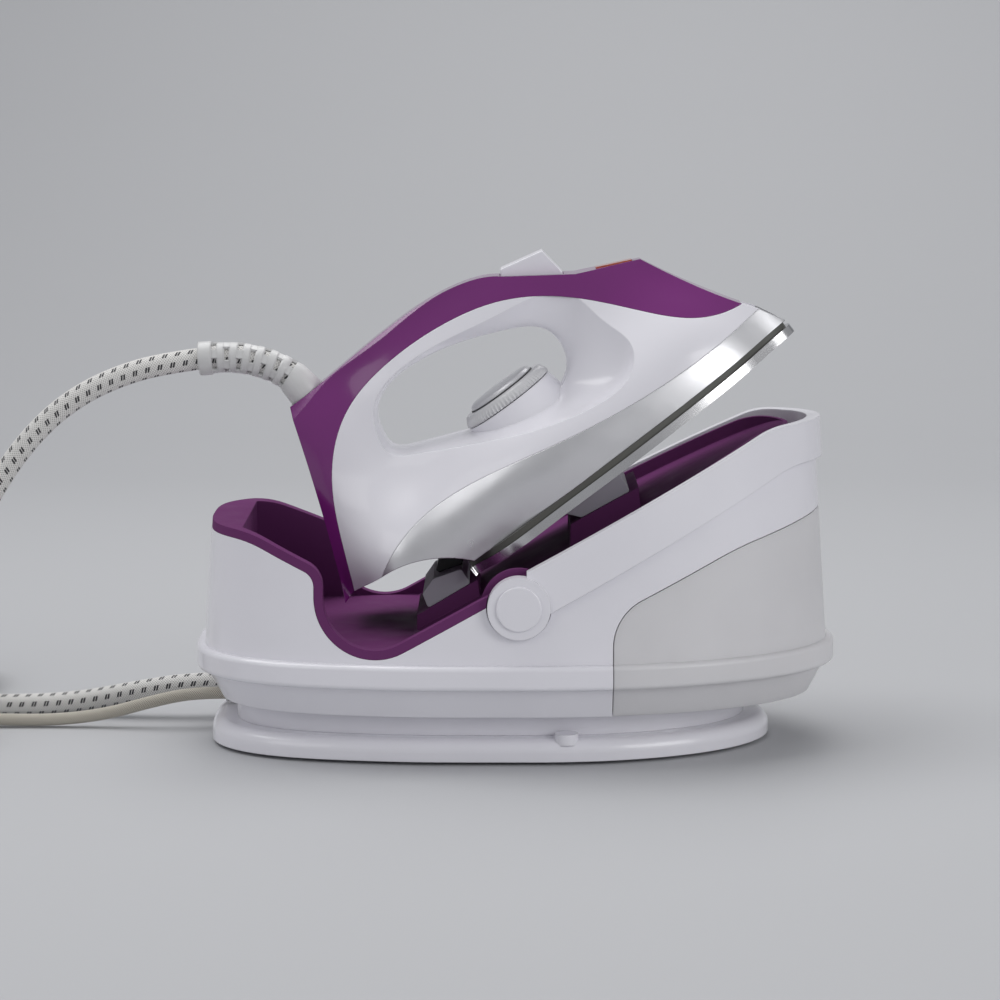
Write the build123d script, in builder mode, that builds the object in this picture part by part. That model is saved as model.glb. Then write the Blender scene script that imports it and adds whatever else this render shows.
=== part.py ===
"""Steam-generator clothes iron parked on its station, with its water tank and two cords.

Frame: +X towards the iron's nose, +Y away from the viewer, +Z up, millimetres.
The origin is on the surface that the station stands on, under the middle of the station.
The iron's own profiles are drawn in (u, w): u along the sole from its rear end to the nose,
w square to the sole.
"""
import os
from math import cos, pi, radians, sin, sqrt, tan

from build123d import *

os.makedirs("parts", exist_ok=True)

# Station plan: an elliptical front and a squarer rear, widest at WIDEST_X
RIM_REAR = -181.5
RIM_FRONT = 181.5
RIM_HALF = 105.0
WIDEST_X = 10.0
REAR_SQUARENESS = 3.1

# Station heights
FEET_HEIGHT = 2.0
FOOT_TOP = 14.0
FOOT_FLOOR = 5.0
NECK_TOP = 27.0
RIM_LOW = 44.0
RIM_TOP = 57.5
HULL_TOP = 205.0

# Station insets from the rim outline
FOOT_REAR_INSET = 8.0
FOOT_FRONT_INSET = 37.0
FOOT_SIDE_INSET = 14.0
NECK_INSET = 14.0
BAND_LOW_INSET = 14.0
BAND_TOP_INSET = 5.0
WALL_INSET = 4.5
WALL_LEAN = 0.068
FOOT_EDGE_ROUND = 7.0
RIM_EDGE_ROUND = 2.5

# Station walls and fits
SHELL_WALL = 2.6
TRAY_WALL = 2.5
TRAY_GAP = 3.2
FLOOR_WALL = 3.0
SLIDE_GAP = 0.4
SEAT_GAP = 0.3
PIN_GAP = 0.06
SCREW_GAP = 0.2

# Tray rim, drawn from the side: rear wall, drop, scoop and the long slope
REAR_EDGE_TOP = 125.0
REAR_EDGE_BEND = (-148.0, 121.5)
SCOOP_DROP_X = -111.0
SCOOP_DROP_TOP = 104.5
SCOOP_RADIUS = 33.0
SLOPE_START = (-62.1, 64.1)
SLOPE_RISE = 0.55
SLOPE_END_X = 138.0
SLOPE_END_RISE = 4.0
TRAY_BAND = 5.0
TRAY_FRONT = 152.0
TRAY_FLOOR = 64.5
TRAY_CAVITY_REAR = -152.0
BAND_END_X = -14.0
FLOOR_BEND_X = -58.0

# Carrying hoop
HOOP_PIVOT = (0.8, 89.2)
HOOP_BOSS_RADIUS = 17.2
HOOP_CAP_RADIUS = 12.4
HOOP_CAP_PROUD = 1.4
HOOP_THICKNESS = 7.5
HOOP_PROUD = 3.5
HOOP_BOSS_PROUD = 1.2
HOOP_LOWER = ((5.0, 79.3), (152.0, 160.1), (195.0, 163.5))
HOOP_UPPER = ((5.0, 108.7), (140.0, 181.6), (195.0, 186.0))
HOOP_BEND = 40.0
HOOP_EAR_RADIUS = 20.5
HOOP_BOSS_GAP = 0.5
HOOP_PIN_RADIUS = 5.0
HOOP_PIN_ROOT = 9.0
PIN_SHORT = 0.4

# Water tank
BAY_X = 52.0
BAY_CORNER_Z = 84.5
BAY_BEND = (120.7, 118.0)
BAY_FRONT_Z = 142.0
BAY_CORNER_ROUND = 28.0
BAY_LINING = 2.5
TANK_WALL = 2.2
TANK_PLUG_RADIUS = 14.0
TANK_PLUG_X = 92.0
PLUG_LOW = 92.0
VALVE_RADIUS = 6.0
VALVE_REACH = 9.0
VALVE_WALL = 1.6
SOCKET_WALL = 3.0
SOCKET_DEPTH = 12.0

# Rest pads in the tray
PAD_HALF = 32.0
STOP_HALF = 15.0
SEAT_RIM = 3.0
PAD_ROUND = 1.5

# Iron placement: the sole's rear lower edge and its tilt
SOLE_REAR = (-22.6, 97.6)
IRON_TILT = 36.7

# Iron sizes
SOLE_LENGTH = 224.0
SOLE_HALF = 58.0
SOLE_PLATE = 5.0
SHIELD_TOP = 8.5
CASTING_TOP = 20.0
HEEL_REAR = -72.0
IRON_WALL = 2.6
HOLE_WALL = 3.0
SHIELD_INSET = 1.6
CASTING_INSET = 9.0
VENT_RADIUS = 2.0

# Dial
DIAL_CENTRE_U = 71.0
DIAL_RADIUS = 28.0
DIAL_CAP_RADIUS = 21.0
DIAL_BASE = 65.0
DIAL_SKIRT = 5.0
DIAL_CAP = 5.0
DIAL_SEAT_RADIUS = 8.0
MOUND_LOW = 46.0
MOUND_RADIUS = 31.5
MOUND_TAPER = 12.0
MOUND_WALL = 3.0
DIAL_RIBS = 36
SPINDLE_RADIUS = 3.0
THERMOSTAT_TOP = 36.0

# Steam trigger, in its own (t, n) frame along and square to the top cover
TRIGGER_ROOT = (111.0, 123.0)
TRIGGER_SLOPE = -34.6
TRIGGER_HALF = 9.0
TRIGGER_TRAVEL = 3.0
TRIGGER_FOOT = -9.0
TRIGGER_BACK = -2.0
TRIGGER_BACK_TOP = 4.0
TRIGGER_PEAK = (21.7, 13.6)
TRIGGER_FRONT_END = 33.0
TRIGGER_FRONT_TOP = 1.0
TRIGGER_GAP = 0.5
SLOT_TOP = 14.0

# Lamp lens on the top cover
LENS_START_U = 155.0
LENS_END_U = 174.0
LENS_HALF = 5.0
LENS_PROUD = 0.7
LENS_SUNK = 1.4

SWITCH_START = 10.0
SWITCH_LENGTH = 12.0
SWITCH_HEIGHT = 7.0
SWITCH_HALF = 5.0
SWITCH_SEAT = 8.0
DIAL_RIB_RADIUS = 0.9

# Iron hull sections: height above the sole, half width, nose reach
IRON_SECTIONS = ((0.0, 58.0, 228.0), (24.0, 57.0, 222.0), (46.0, 51.0, 214.0), (62.0, 38.0, 206.0),
                 (84.0, 25.0, 196.0), (108.0, 19.5, 190.0), (150.0, 17.0, 186.0))

# Fasteners and feet of the station
SCREW_PLACES = ((-120.0, -45.0), (-120.0, 45.0), (30.0, -58.0), (30.0, 58.0))
SCREW_RADIUS = 1.75
SCREW_HEAD_RADIUS = 3.6
SCREW_HEAD = 2.2
POST_RADIUS = 4.6
FEET_PLACES = ((-135.0, -42.0), (-135.0, 42.0), (92.0, -45.0), (92.0, 45.0))
FEET_RADIUS = 8.0
CLIP_PLACE = (27.0, -84.0)
CLIP_RADIUS = 6.5
CLIP_HEIGHT = 3.0

# Inside the station
BOILER_PLACE = (4.0, 34.0)
BOILER_RADIUS = 38.0
BOILER_LOW = 38.0
BOILER_TOP = 64.0
BRACKET_RADIUS = 34.0
BRACKET_WALL = 4.0
HEATER_RADIUS = 24.0
HEATER_THICKNESS = 4.0
PUMP_Y = -50.0
PUMP_Z = 44.0
PUMP_RADIUS = 13.0
PUMP_REAR = -42.0
PUMP_FRONT = 20.0
PUMP_BASE_HALF = 15.0
TUBE_RADIUS = 4.0
TUBE_BORE = 2.4
STUB_REACH = 8.0
THERMOSTAT_RADIUS = 8.0
THERMOSTAT_HEIGHT = 6.0
VALVE_BODY = 22.0
BOARD_CENTRE_X = -105.0
BOARD_LENGTH = 80.0
BOARD_WIDTH = 100.0
BOARD_THICKNESS = 1.6
BOARD_POST = 6.0
BOARD_POST_RADIUS = 3.0
BOARD_POST_INSET = 6.0

# Cords
HOSE_RADIUS = 6.2
HOSE_GLAND_Y = 40.0
HOSE_GLAND_RADIUS = 6.4
LEAD_RADIUS = 3.6
LEAD_GLAND_Y = 10.0
LEAD_GLAND_RADIUS = 4.8
GLAND_REACH = 8.0
GLAND_ROOT = 14.0
GLAND_Z = 20.5
BOOT_SEAT = (-18.6, 135.7)
BOOT_SEAT_RADIUS = 10.6
BOOT_END = (-180.0, 215.2)
BOOT_END_HEADING = 188.0
BOOT_END_RADIUS = 8.6
BOOT_BENDS = ((-129.0, 203.6, 139.0, 10.0), (-145.0, 211.2, 159.0, 9.4), (-163.0, 215.2, 176.0, 9.0))
HOSE_END_RUN = 33.0
HOSE_FIRST_RUN = 23.0
LEAD_END_RUN = 28.0
LEAD_FIRST_RUN = 19.0
COIL_SPREAD = 1.15
COIL_GAP = 0.6
TIE_THICKNESS = 1.4
TIE_WIDTH = 12.0
HOSE_COIL_CENTRE = (-401.0, 124.0)
HOSE_COIL_INNER = 59.0
HOSE_COIL_TURNS = (1.25, 1.0)
LEAD_COIL_CENTRE = (-356.0, -42.0)
LEAD_COIL_INNER = 28.0
LEAD_COIL_TURNS = (2.75, 2.75)
PLUG_LENGTH = 38.0
PLUG_WIDTH = 30.0
PLUG_HEIGHT = 20.0
PLUG_NECK = 22.0
PLUG_PIN_RADIUS = 2.4
PLUG_PIN_LENGTH = 19.0
PLUG_PIN_APART = 19.0

# Corner points shared by the iron's side profiles
NOSE_LOW = (223.0, SHIELD_TOP)
NOSE_SKIRT = (215.0, 23.0)
NOSE_COVER = (209.0, 31.0)
SKIRT_HEEL = (-42.0, 31.5)
COVER_HEEL = (-62.0, 32.0)
HEEL_TIP = (-69.7, 30.0)
PEAK = (178.0, 85.0)
TRIGGER_FRONT = (144.0, 100.4)
HANDLE_FRONT = (110.6, 123.4)
HANDLE_REAR = (-30.0, 136.0)

SKIRT_TOP = (NOSE_SKIRT, (185.0, 22.5), (138.0, 25.0), (77.0, 35.0), (22.0, 44.8), (-18.0, 42.4),
             SKIRT_HEEL)
SKIRT_BACK = (SKIRT_HEEL, (-19.0, 27.0), (-4.0, 17.5), (5.0, SHIELD_TOP))
COVER_EDGE = (NOSE_COVER, (185.7, 40.0), (161.0, 63.0), (129.6, 95.7), (101.0, 113.5), (66.0, 122.3),
              (28.0, 123.2), (-6.5, 114.6), (-34.6, 89.6), (-52.7, 53.4), COVER_HEEL)
COVER_NOSE = (NOSE_COVER, (193.0, 56.6), PEAK)
HANDLE_TOP = (HANDLE_FRONT, (104.7, 127.7), (88.4, 134.2), (49.3, 138.7), (9.3, 137.3), HANDLE_REAR)
COVER_BACK = (HANDLE_REAR, (-48.0, 85.2), HEEL_TIP)
HANDLE_HOLE = ((2.4, 89.4), (13.7, 109.2), (44.7, 112.9), (90.4, 99.2), (112.9, 82.4), (109.8, 62.2),
               (90.4, 52.1), (48.3, 61.5), (15.8, 74.5))

# Flare of the hole: for each of its points, how far it opens and the half width where it has
HOLE_FLARE = ((2.5, 20.0), (2.5, 19.0), (4.5, 19.0), (13.0, 18.0), (26.0, 16.0), (26.0, 26.5),
              (9.5, 46.0), (3.5, 40.0), (2.5, 32.0))
FLARE_START = 4.0
FLARE_LEVELS = (4.0, 9.0, 15.0, 22.0, 31.0, 42.0, 56.0)

# Facets along the handle's top: drop at each point of its outline, and where across they start and end
FACET_DROPS = (0.0, 1.0, 4.0, 8.5, 8.5, 8.5, 8.5)
FACET_LIFT = 0.8
FACET_END = (-48.0, 134.0)
FACET_TOP = 160.0
FACET_INNER = 9.0
FACET_OUTER = 20.0

# Room inside the top cover, along the handle and down its rear
COVER_ROOM_TOP = ((-16.0, 80.0), (-16.0, 130.0), (50.0, 132.0), (88.0, 128.0), (106.0, 121.5),
                  (142.0, 98.0), (168.0, 86.0), (150.0, 60.0))
COVER_ROOM_REAR = ((-16.0, 129.0), (-26.5, 129.0), (-44.0, 85.2), (-58.0, 46.0), (-40.0, 46.0),
                   (-16.0, 96.0))

# More than the width of everything, for cutting shapes
ALL_WIDE = 260.0


# Outlines and hulls of the station

def station_edge(rear, front, half):
    """Closed plan outline in the current line builder."""
    reach = WIDEST_X - rear
    power = 2.0 / REAR_SQUARENESS
    rear_points = []
    for angle in (90.0, 72.0, 54.0, 36.0, 18.0, 6.0, 0.0, -6.0, -18.0, -36.0, -54.0, -72.0, -90.0):
        across = abs(cos(radians(angle))) ** power
        along = abs(sin(radians(angle))) ** power
        side = 1.0 if angle > 0 else -1.0
        rear_points.append((WIDEST_X - reach * across, side * half * along))
    EllipticalCenterArc((WIDEST_X, 0), front - WIDEST_X, half, start_angle=-90, arc_size=180)
    Spline(*rear_points, tangents=[(-1, 0), (1, 0)])


def plan_face(height, inset, front_inset=None):
    """Plan outline at a height, drawn in from the rim outline."""
    if front_inset is None:
        front_inset = inset
    with BuildSketch(Plane.XY.offset(height)) as plan:
        with BuildLine():
            station_edge(RIM_REAR + inset, RIM_FRONT - front_inset, RIM_HALF - inset)
        make_face()
    return plan.sketch


def wall_inset(height):
    """Inset of the leaning wall at a height."""
    return WALL_INSET + WALL_LEAN * (height - RIM_TOP)


def wall_hull(offset_in, low, high, front_extra=0.0):
    """Solid inside the leaning wall, drawn in by offset_in."""
    sections = []
    for height in (low, high):
        inset = wall_inset(height) + offset_in
        sections.append(plan_face(height, inset, inset + front_extra))
    with BuildPart() as hull:
        loft(sections)
    return hull.part


def station_hull():
    """Whole outside of the station above the neck: band, rim and leaning wall."""
    band_faces = [plan_face(NECK_TOP, BAND_LOW_INSET), plan_face(RIM_LOW, BAND_TOP_INSET)]
    rim_plan = plan_face(RIM_LOW, 0.0)
    with BuildPart() as rim:
        extrude(rim_plan, RIM_TOP - RIM_LOW)
        fillet(rim.edges().group_by(Axis.Z)[-1] + rim.edges().group_by(Axis.Z)[0], RIM_EDGE_ROUND)
    wall = wall_hull(0.0, RIM_TOP - 1.0, HULL_TOP)
    with BuildPart() as hull:
        loft(band_faces)
        add(rim.part)
        add(wall)
    return hull.part


def side_prism(face):
    """Prism across the whole station from a face drawn from the side."""
    with BuildPart() as prism:
        extrude(face, ALL_WIDE, both=True)
    return prism.part


def slope_height(x):
    return SLOPE_START[1] + SLOPE_RISE * (x - SLOPE_START[0])


def above_deck_face(drawn_in=0.0):
    """Side view of all that lies above the white wall's upper edge, drawn in by an amount."""
    end_z = slope_height(SLOPE_END_X)
    left = RIM_REAR - 40.0
    right = RIM_FRONT + 60.0
    top = HULL_TOP + 80.0
    with BuildSketch(Plane.XZ) as above:
        with BuildLine():
            edge = FilletPolyline(
                (left, REAR_EDGE_TOP), REAR_EDGE_BEND, (SCOOP_DROP_X, SCOOP_DROP_TOP),
                (SCOOP_DROP_X, slope_height(SCOOP_DROP_X)), (SLOPE_END_X, end_z),
                (right, end_z + SLOPE_END_RISE), radius=(50.0, 9.0, SCOOP_RADIUS, 40.0))
            Polyline(edge @ 1, (right, top), (left, top), edge @ 0)
        make_face()
        if drawn_in:
            offset(amount=-drawn_in, mode=Mode.REPLACE)
    return above.sketch


def hoop_face():
    """Side view of the hoop's arms and crossbar."""
    with BuildSketch(Plane.XZ) as face:
        with BuildLine():
            lower = FilletPolyline(*HOOP_LOWER, radius=HOOP_BEND)
            upper = FilletPolyline(*HOOP_UPPER, radius=HOOP_BEND)
            Line(lower @ 0, upper @ 0)
            Line(lower @ 1, upper @ 1)
        make_face()
    return face.sketch


def above_ledge_face(drop):
    """Side view of all that lies above the ledge under the hoop's arms."""
    low = [(x, z - drop) for x, z in HOOP_LOWER]
    top = HULL_TOP + 80.0
    with BuildSketch(Plane.XZ) as face:
        with BuildLine():
            lower = FilletPolyline(*low, radius=HOOP_BEND)
            Polyline(lower @ 1, ((lower @ 1).X, top), ((lower @ 0).X, top), lower @ 0)
        make_face()
    return face.sketch


def bay_face(grown=0.0):
    """Side view of the tank's bay, grown by an amount."""
    low = NECK_TOP - 8.0
    right = RIM_FRONT + 20.0
    with BuildSketch(Plane.XZ) as bay:
        with BuildLine():
            roof = FilletPolyline(
                (BAY_X, low), (BAY_X, BAY_CORNER_Z), BAY_BEND, (right, BAY_FRONT_Z),
                radius=(BAY_CORNER_ROUND, 150.0))
            Polyline(roof @ 1, (right, low), roof @ 0)
        make_face()
        if grown:
            offset(amount=grown, mode=Mode.REPLACE)
    return bay.sketch


def pivot_disc(radius, near, far):
    """Pair of discs about the hoop's pivot, one on each side, between two distances from the middle."""
    with BuildPart() as discs:
        with BuildSketch(Plane.XZ.offset(near)):
            with Locations(HOOP_PIVOT):
                Circle(radius)
        extrude(amount=far - near)
        mirror(about=Plane.XZ)
    return discs.part


def finish(builder, name):
    """Label a finished piece and write it."""
    builder.part.label = name
    export_step(builder.part, f"parts/{name}.step")


outer_hull = station_hull()
pivot_wall = RIM_HALF - wall_inset(HOOP_PIVOT[1])
hoop_inner = pivot_wall + HOOP_PROUD - HOOP_THICKNESS
hoop_outer = pivot_wall + HOOP_PROUD
tray_inset = SHELL_WALL + TRAY_GAP
tray_side = pivot_wall - tray_inset - WALL_LEAN * HOOP_EAR_RADIUS - SEAT_GAP
boss_outer = hoop_outer + HOOP_BOSS_PROUD
tray_front_extra = RIM_FRONT - wall_inset(HULL_TOP) - tray_inset - TRAY_FRONT

# Station body: the white outer shell with the tank's bay and the ledge under the hoop
room_low = [plan_face(NECK_TOP + FLOOR_WALL, BAND_LOW_INSET + SHELL_WALL),
            plan_face(RIM_TOP, WALL_INSET + SHELL_WALL)]
room_high = wall_hull(SHELL_WALL, RIM_TOP, HULL_TOP)
bay_lining = side_prism(bay_face(BAY_LINING))
bay_space = side_prism(bay_face())
ledge_under = side_prism(above_ledge_face(SEAT_GAP + FLOOR_WALL))
ledge_space = side_prism(above_ledge_face(SEAT_GAP))
deck_space = side_prism(above_deck_face())
boss_space = pivot_disc(HOOP_BOSS_RADIUS + HOOP_BOSS_GAP, tray_side - HOOP_PIN_ROOT, RIM_HALF + 5.0)
ear_space = pivot_disc(HOOP_EAR_RADIUS + SEAT_GAP, tray_side - HOOP_PIN_ROOT - SEAT_GAP,
                       tray_side + SEAT_GAP)

with BuildPart() as inner_room:
    loft(room_low)
    add(room_high)
    add(bay_lining, mode=Mode.SUBTRACT)
    add(ledge_under, mode=Mode.SUBTRACT)

with BuildPart() as shell_blank:
    add(outer_hull)
    add(inner_room.part, mode=Mode.SUBTRACT)
    add(bay_space, mode=Mode.SUBTRACT)
    add(ledge_space, mode=Mode.SUBTRACT)
    add(deck_space, mode=Mode.SUBTRACT)
    add(boss_space, mode=Mode.SUBTRACT)
    add(ear_space, mode=Mode.SUBTRACT)

# Foot and neck: the flared foot with its floor, and the groove wall that the cords wrap round

def foot_face(height, inset):
    """Plan outline of the foot at a height, drawn in by an amount."""
    with BuildSketch(Plane.XY.offset(height)) as plan:
        with BuildLine():
            station_edge(RIM_REAR + FOOT_REAR_INSET + inset, RIM_FRONT - FOOT_FRONT_INSET - inset,
                         RIM_HALF - FOOT_SIDE_INSET - inset)
        make_face()
    return plan.sketch


ON_TOP = (Align.CENTER, Align.CENTER, Align.MIN)
base_floor = NECK_TOP + FLOOR_WALL
foot_plan = foot_face(FEET_HEIGHT, 0.0)
foot_room = foot_face(FOOT_FLOOR, NECK_INSET + SHELL_WALL)
neck_plan = foot_face(FOOT_TOP, NECK_INSET)
neck_room = foot_face(FOOT_TOP, NECK_INSET + SHELL_WALL)
shelf_plan = foot_face(NECK_TOP - SHELL_WALL, NECK_INSET)
neck_rear = RIM_REAR + FOOT_REAR_INSET + NECK_INSET

with BuildPart() as foot_plate:
    extrude(foot_plan, FOOT_TOP - FEET_HEIGHT)
    fillet(foot_plate.edges().group_by(Axis.Z)[-1], FOOT_EDGE_ROUND)
    with Locations((*CLIP_PLACE, FOOT_TOP - CLIP_HEIGHT)):
        Cylinder(CLIP_RADIUS, 2 * CLIP_HEIGHT, align=ON_TOP)
    extrude(foot_room, FOOT_TOP, mode=Mode.SUBTRACT)
    with Locations(*[(x, y, FOOT_FLOOR - 1.0) for x, y in SCREW_PLACES]):
        Cylinder(POST_RADIUS, NECK_TOP - FOOT_FLOOR + 1.0, align=ON_TOP)
    with Locations(*[(x, y, 0) for x, y in SCREW_PLACES]):
        Cylinder(SCREW_RADIUS + SCREW_GAP, NECK_TOP, align=ON_TOP, mode=Mode.SUBTRACT)
        Cylinder(SCREW_HEAD_RADIUS + SCREW_GAP, FEET_HEIGHT + SCREW_HEAD, align=ON_TOP,
                 mode=Mode.SUBTRACT)
finish(foot_plate, "foot_plate")

with BuildPart() as tank_shelf:
    extrude(shelf_plan, SHELL_WALL)
    split(bisect_by=Plane.YZ.offset(BAY_X - BAY_LINING), keep=Keep.TOP)

with BuildPart() as neck_ring:
    extrude(neck_plan, NECK_TOP - FOOT_TOP)
    extrude(neck_room, NECK_TOP - FOOT_TOP, mode=Mode.SUBTRACT)
    add(tank_shelf.part)
    with BuildSketch(Plane.YZ.offset(neck_rear - 10.0)):
        with Locations((HOSE_GLAND_Y, GLAND_Z)):
            Circle(HOSE_GLAND_RADIUS)
        with Locations((LEAD_GLAND_Y, GLAND_Z)):
            Circle(LEAD_GLAND_RADIUS)
    extrude(amount=40.0, mode=Mode.SUBTRACT)
finish(neck_ring, "neck_ring")

with BuildPart() as rubber_feet:
    with Locations(*[(x, y, 0) for x, y in FEET_PLACES]):
        Cylinder(FEET_RADIUS, FEET_HEIGHT, align=ON_TOP)
finish(rubber_feet, "rubber_feet")

with BuildPart() as base_screws:
    with Locations(*[(x, y, FEET_HEIGHT) for x, y in SCREW_PLACES]):
        Cylinder(SCREW_HEAD_RADIUS, SCREW_HEAD, align=ON_TOP)
        Cylinder(SCREW_RADIUS, base_floor - FEET_HEIGHT, align=ON_TOP)
finish(base_screws, "base_screws")

# Station body, with its screw holes and the posts for the circuit board
post_along = BOARD_LENGTH / 2 - BOARD_POST_INSET
post_across = BOARD_WIDTH / 2 - BOARD_POST_INSET
board_posts = [(BOARD_CENTRE_X + along * post_along, across * post_across, base_floor)
               for along in (-1, 1) for across in (-1, 1)]
with BuildPart() as base_body:
    add(shell_blank.part)
    with Locations(*board_posts):
        Cylinder(BOARD_POST_RADIUS, BOARD_POST, align=ON_TOP)
    with Locations(*[(x, y, NECK_TOP) for x, y in SCREW_PLACES]):
        Cylinder(SCREW_RADIUS, FLOOR_WALL, align=ON_TOP, mode=Mode.SUBTRACT)
    with Locations((BAY_X - 2 * BAY_LINING, PUMP_Y, PUMP_Z)):
        Cylinder(VALVE_RADIUS + SLIDE_GAP, 4 * BAY_LINING, rotation=(0, 90, 0), align=ON_TOP,
                 mode=Mode.SUBTRACT)
finish(base_body, "base_body")

# Tray: the purple cradle that carries the iron

def floor_height(x):
    """Height of the tray's floor: flat at the rear, then parallel to the slope."""
    return TRAY_FLOOR + max(0.0, SLOPE_RISE * (x - FLOOR_BEND_X))


def side_face(points):
    """Face drawn from the side through straight edges."""
    with BuildSketch(Plane.XZ) as face:
        with BuildLine():
            Polyline(*points, close=True)
        make_face()
    return face.sketch


far_right = RIM_FRONT + 40.0
far_left = RIM_REAR - 20.0
above_floor = side_prism(side_face([
    (far_left, TRAY_FLOOR), (FLOOR_BEND_X, TRAY_FLOOR), (far_right, floor_height(far_right)),
    (far_right, 320.0), (far_left, 320.0)]))
below_floor = side_prism(side_face([
    (far_left, TRAY_FLOOR - TRAY_WALL), (FLOOR_BEND_X, TRAY_FLOOR - TRAY_WALL),
    (far_right, floor_height(far_right) - TRAY_WALL), (far_right, 0.0), (far_left, 0.0)]))
tray_over = side_prism(above_deck_face(TRAY_BAND))
tray_outside = wall_hull(tray_inset, RIM_TOP, HULL_TOP, tray_front_extra)
tray_inside = wall_hull(tray_inset + TRAY_WALL, RIM_TOP, HULL_TOP, tray_front_extra)
band_outside = wall_hull(SEAT_GAP, RIM_TOP, HULL_TOP)
ledge_part = side_prism(above_ledge_face(SEAT_GAP))
tray_ears = pivot_disc(HOOP_EAR_RADIUS, tray_side - HOOP_PIN_ROOT, tray_side)
boss_room = pivot_disc(HOOP_BOSS_RADIUS + HOOP_BOSS_GAP, hoop_inner - SEAT_GAP, RIM_HALF)
pin_bores = pivot_disc(HOOP_PIN_RADIUS + PIN_GAP, tray_side - 2 * HOOP_PIN_ROOT, RIM_HALF)

with BuildPart() as tray_band:
    add(band_outside)
    add(deck_space, mode=Mode.INTERSECT)
    add(tray_over, mode=Mode.SUBTRACT)
    split(bisect_by=Plane.YZ.offset(BAND_END_X), keep=Keep.BOTTOM)
    add(boss_space, mode=Mode.SUBTRACT)

with BuildPart() as tray_hollow:
    add(tray_inside)
    add(above_floor, mode=Mode.INTERSECT)
    split(bisect_by=Plane.YZ.offset(TRAY_CAVITY_REAR), keep=Keep.TOP)

with BuildPart() as tray_under:
    add(tray_inside)
    add(below_floor, mode=Mode.INTERSECT)

with BuildPart() as tray_sides:
    add(tray_outside)
    add(tray_over, mode=Mode.SUBTRACT)
    split(bisect_by=Plane.XY.offset(TRAY_FLOOR - TRAY_WALL), keep=Keep.TOP)

with BuildPart() as tray_rear:
    add(tray_sides.part)
    split(bisect_by=Plane.YZ.offset(HOOP_LOWER[0][0]), keep=Keep.BOTTOM)

with BuildPart() as tray_front:
    add(tray_sides.part)
    add(ledge_part, mode=Mode.INTERSECT)

with BuildPart() as tray_blank:
    add(tray_rear.part)
    add(tray_front.part)
    add(tray_band.part)
    add(tray_ears)
    add(tray_hollow.part, mode=Mode.SUBTRACT)
    add(tray_under.part, mode=Mode.SUBTRACT)
    add(pin_bores, mode=Mode.SUBTRACT)
    add(boss_room, mode=Mode.SUBTRACT)

# Pads and stop that the iron rests on

def iron_point(u, w):
    """World (x, z) of a point given along and square to the sole."""
    tilt = radians(IRON_TILT)
    return (SOLE_REAR[0] + u * cos(tilt) - w * sin(tilt), SOLE_REAR[1] + u * sin(tilt) + w * cos(tilt))


front_pad_low = ((36.3, 129.0), (63.4, 144.0))
front_pad_top = (iron_point(58.0, -SEAT_GAP), iron_point(98.0, -SEAT_GAP))
rear_pad_points = ((-49.9, 77.5), (-25.9, 91.8), (-31.3, 99.7), (-47.0, 94.1), (-53.0, 85.5))
stop_points = ((-46.0, 94.46), (-31.3, 99.7), (-29.8, 103.3), (-37.0, 105.2), (-44.4, 101.5))
front_seat_points = ((30.0, 108.0), (30.0, 125.4), front_pad_low[0], front_pad_low[1], (68.0, 146.5),
                     (70.0, 128.0))
rear_seat_points = ((-56.0, 64.0), (-56.0, 73.8), rear_pad_points[0], rear_pad_points[1], (-22.0, 94.0),
                    (-20.0, 80.0))

seats = []
for seat_points in (front_seat_points, rear_seat_points):
    seat_face = side_face(seat_points)
    with BuildPart() as seat:
        extrude(seat_face, PAD_HALF + SEAT_RIM, both=True)
    seats.append(seat.part)

pad_faces = {
    "front_rest_pad": side_face([*front_pad_low, front_pad_top[1], front_pad_top[0]]),
    "rear_rest_pad": side_face(rear_pad_points),
    "heel_stop": side_face(stop_points),
}
for pad_name, pad_face in pad_faces.items():
    with BuildPart() as pad:
        extrude(pad_face, STOP_HALF if pad_name == "heel_stop" else PAD_HALF, both=True)
        fillet(pad.edges().filter_by(Axis.Y), PAD_ROUND)
    finish(pad, pad_name)

with BuildPart() as iron_tray:
    add(tray_blank.part)
    for seat in seats:
        add(seat)
finish(iron_tray, "iron_tray")

# Hoop, its pins and its caps
hoop_outside = wall_hull(-HOOP_PROUD, RIM_TOP, HULL_TOP)
hoop_inside = wall_hull(HOOP_THICKNESS - HOOP_PROUD, RIM_TOP, HULL_TOP)
hoop_band = side_prism(hoop_face())
hoop_bosses = pivot_disc(HOOP_BOSS_RADIUS, hoop_inner, boss_outer)
hoop_bores = pivot_disc(HOOP_PIN_RADIUS + PIN_GAP, hoop_inner - 1.0, boss_outer)

with BuildPart() as carry_hoop:
    add(hoop_outside)
    add(hoop_inside, mode=Mode.SUBTRACT)
    add(hoop_band, mode=Mode.INTERSECT)
    add(hoop_bosses)
    add(hoop_bores, mode=Mode.SUBTRACT)
finish(carry_hoop, "carry_hoop")

hoop_pins = pivot_disc(HOOP_PIN_RADIUS, tray_side - HOOP_PIN_ROOT, boss_outer - PIN_SHORT)
with BuildPart() as pins:
    add(hoop_pins)
finish(pins, "hoop_pins")

hoop_caps = pivot_disc(HOOP_CAP_RADIUS, boss_outer, boss_outer + HOOP_CAP_PROUD)
with BuildPart() as caps:
    add(hoop_caps)
    fillet(caps.edges().filter_by(GeomType.CIRCLE).group_by(Axis.Y)[0], HOOP_CAP_PROUD * 0.6)
    fillet(caps.edges().filter_by(GeomType.CIRCLE).group_by(Axis.Y)[-1], HOOP_CAP_PROUD * 0.6)
finish(caps, "hoop_caps")

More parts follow.
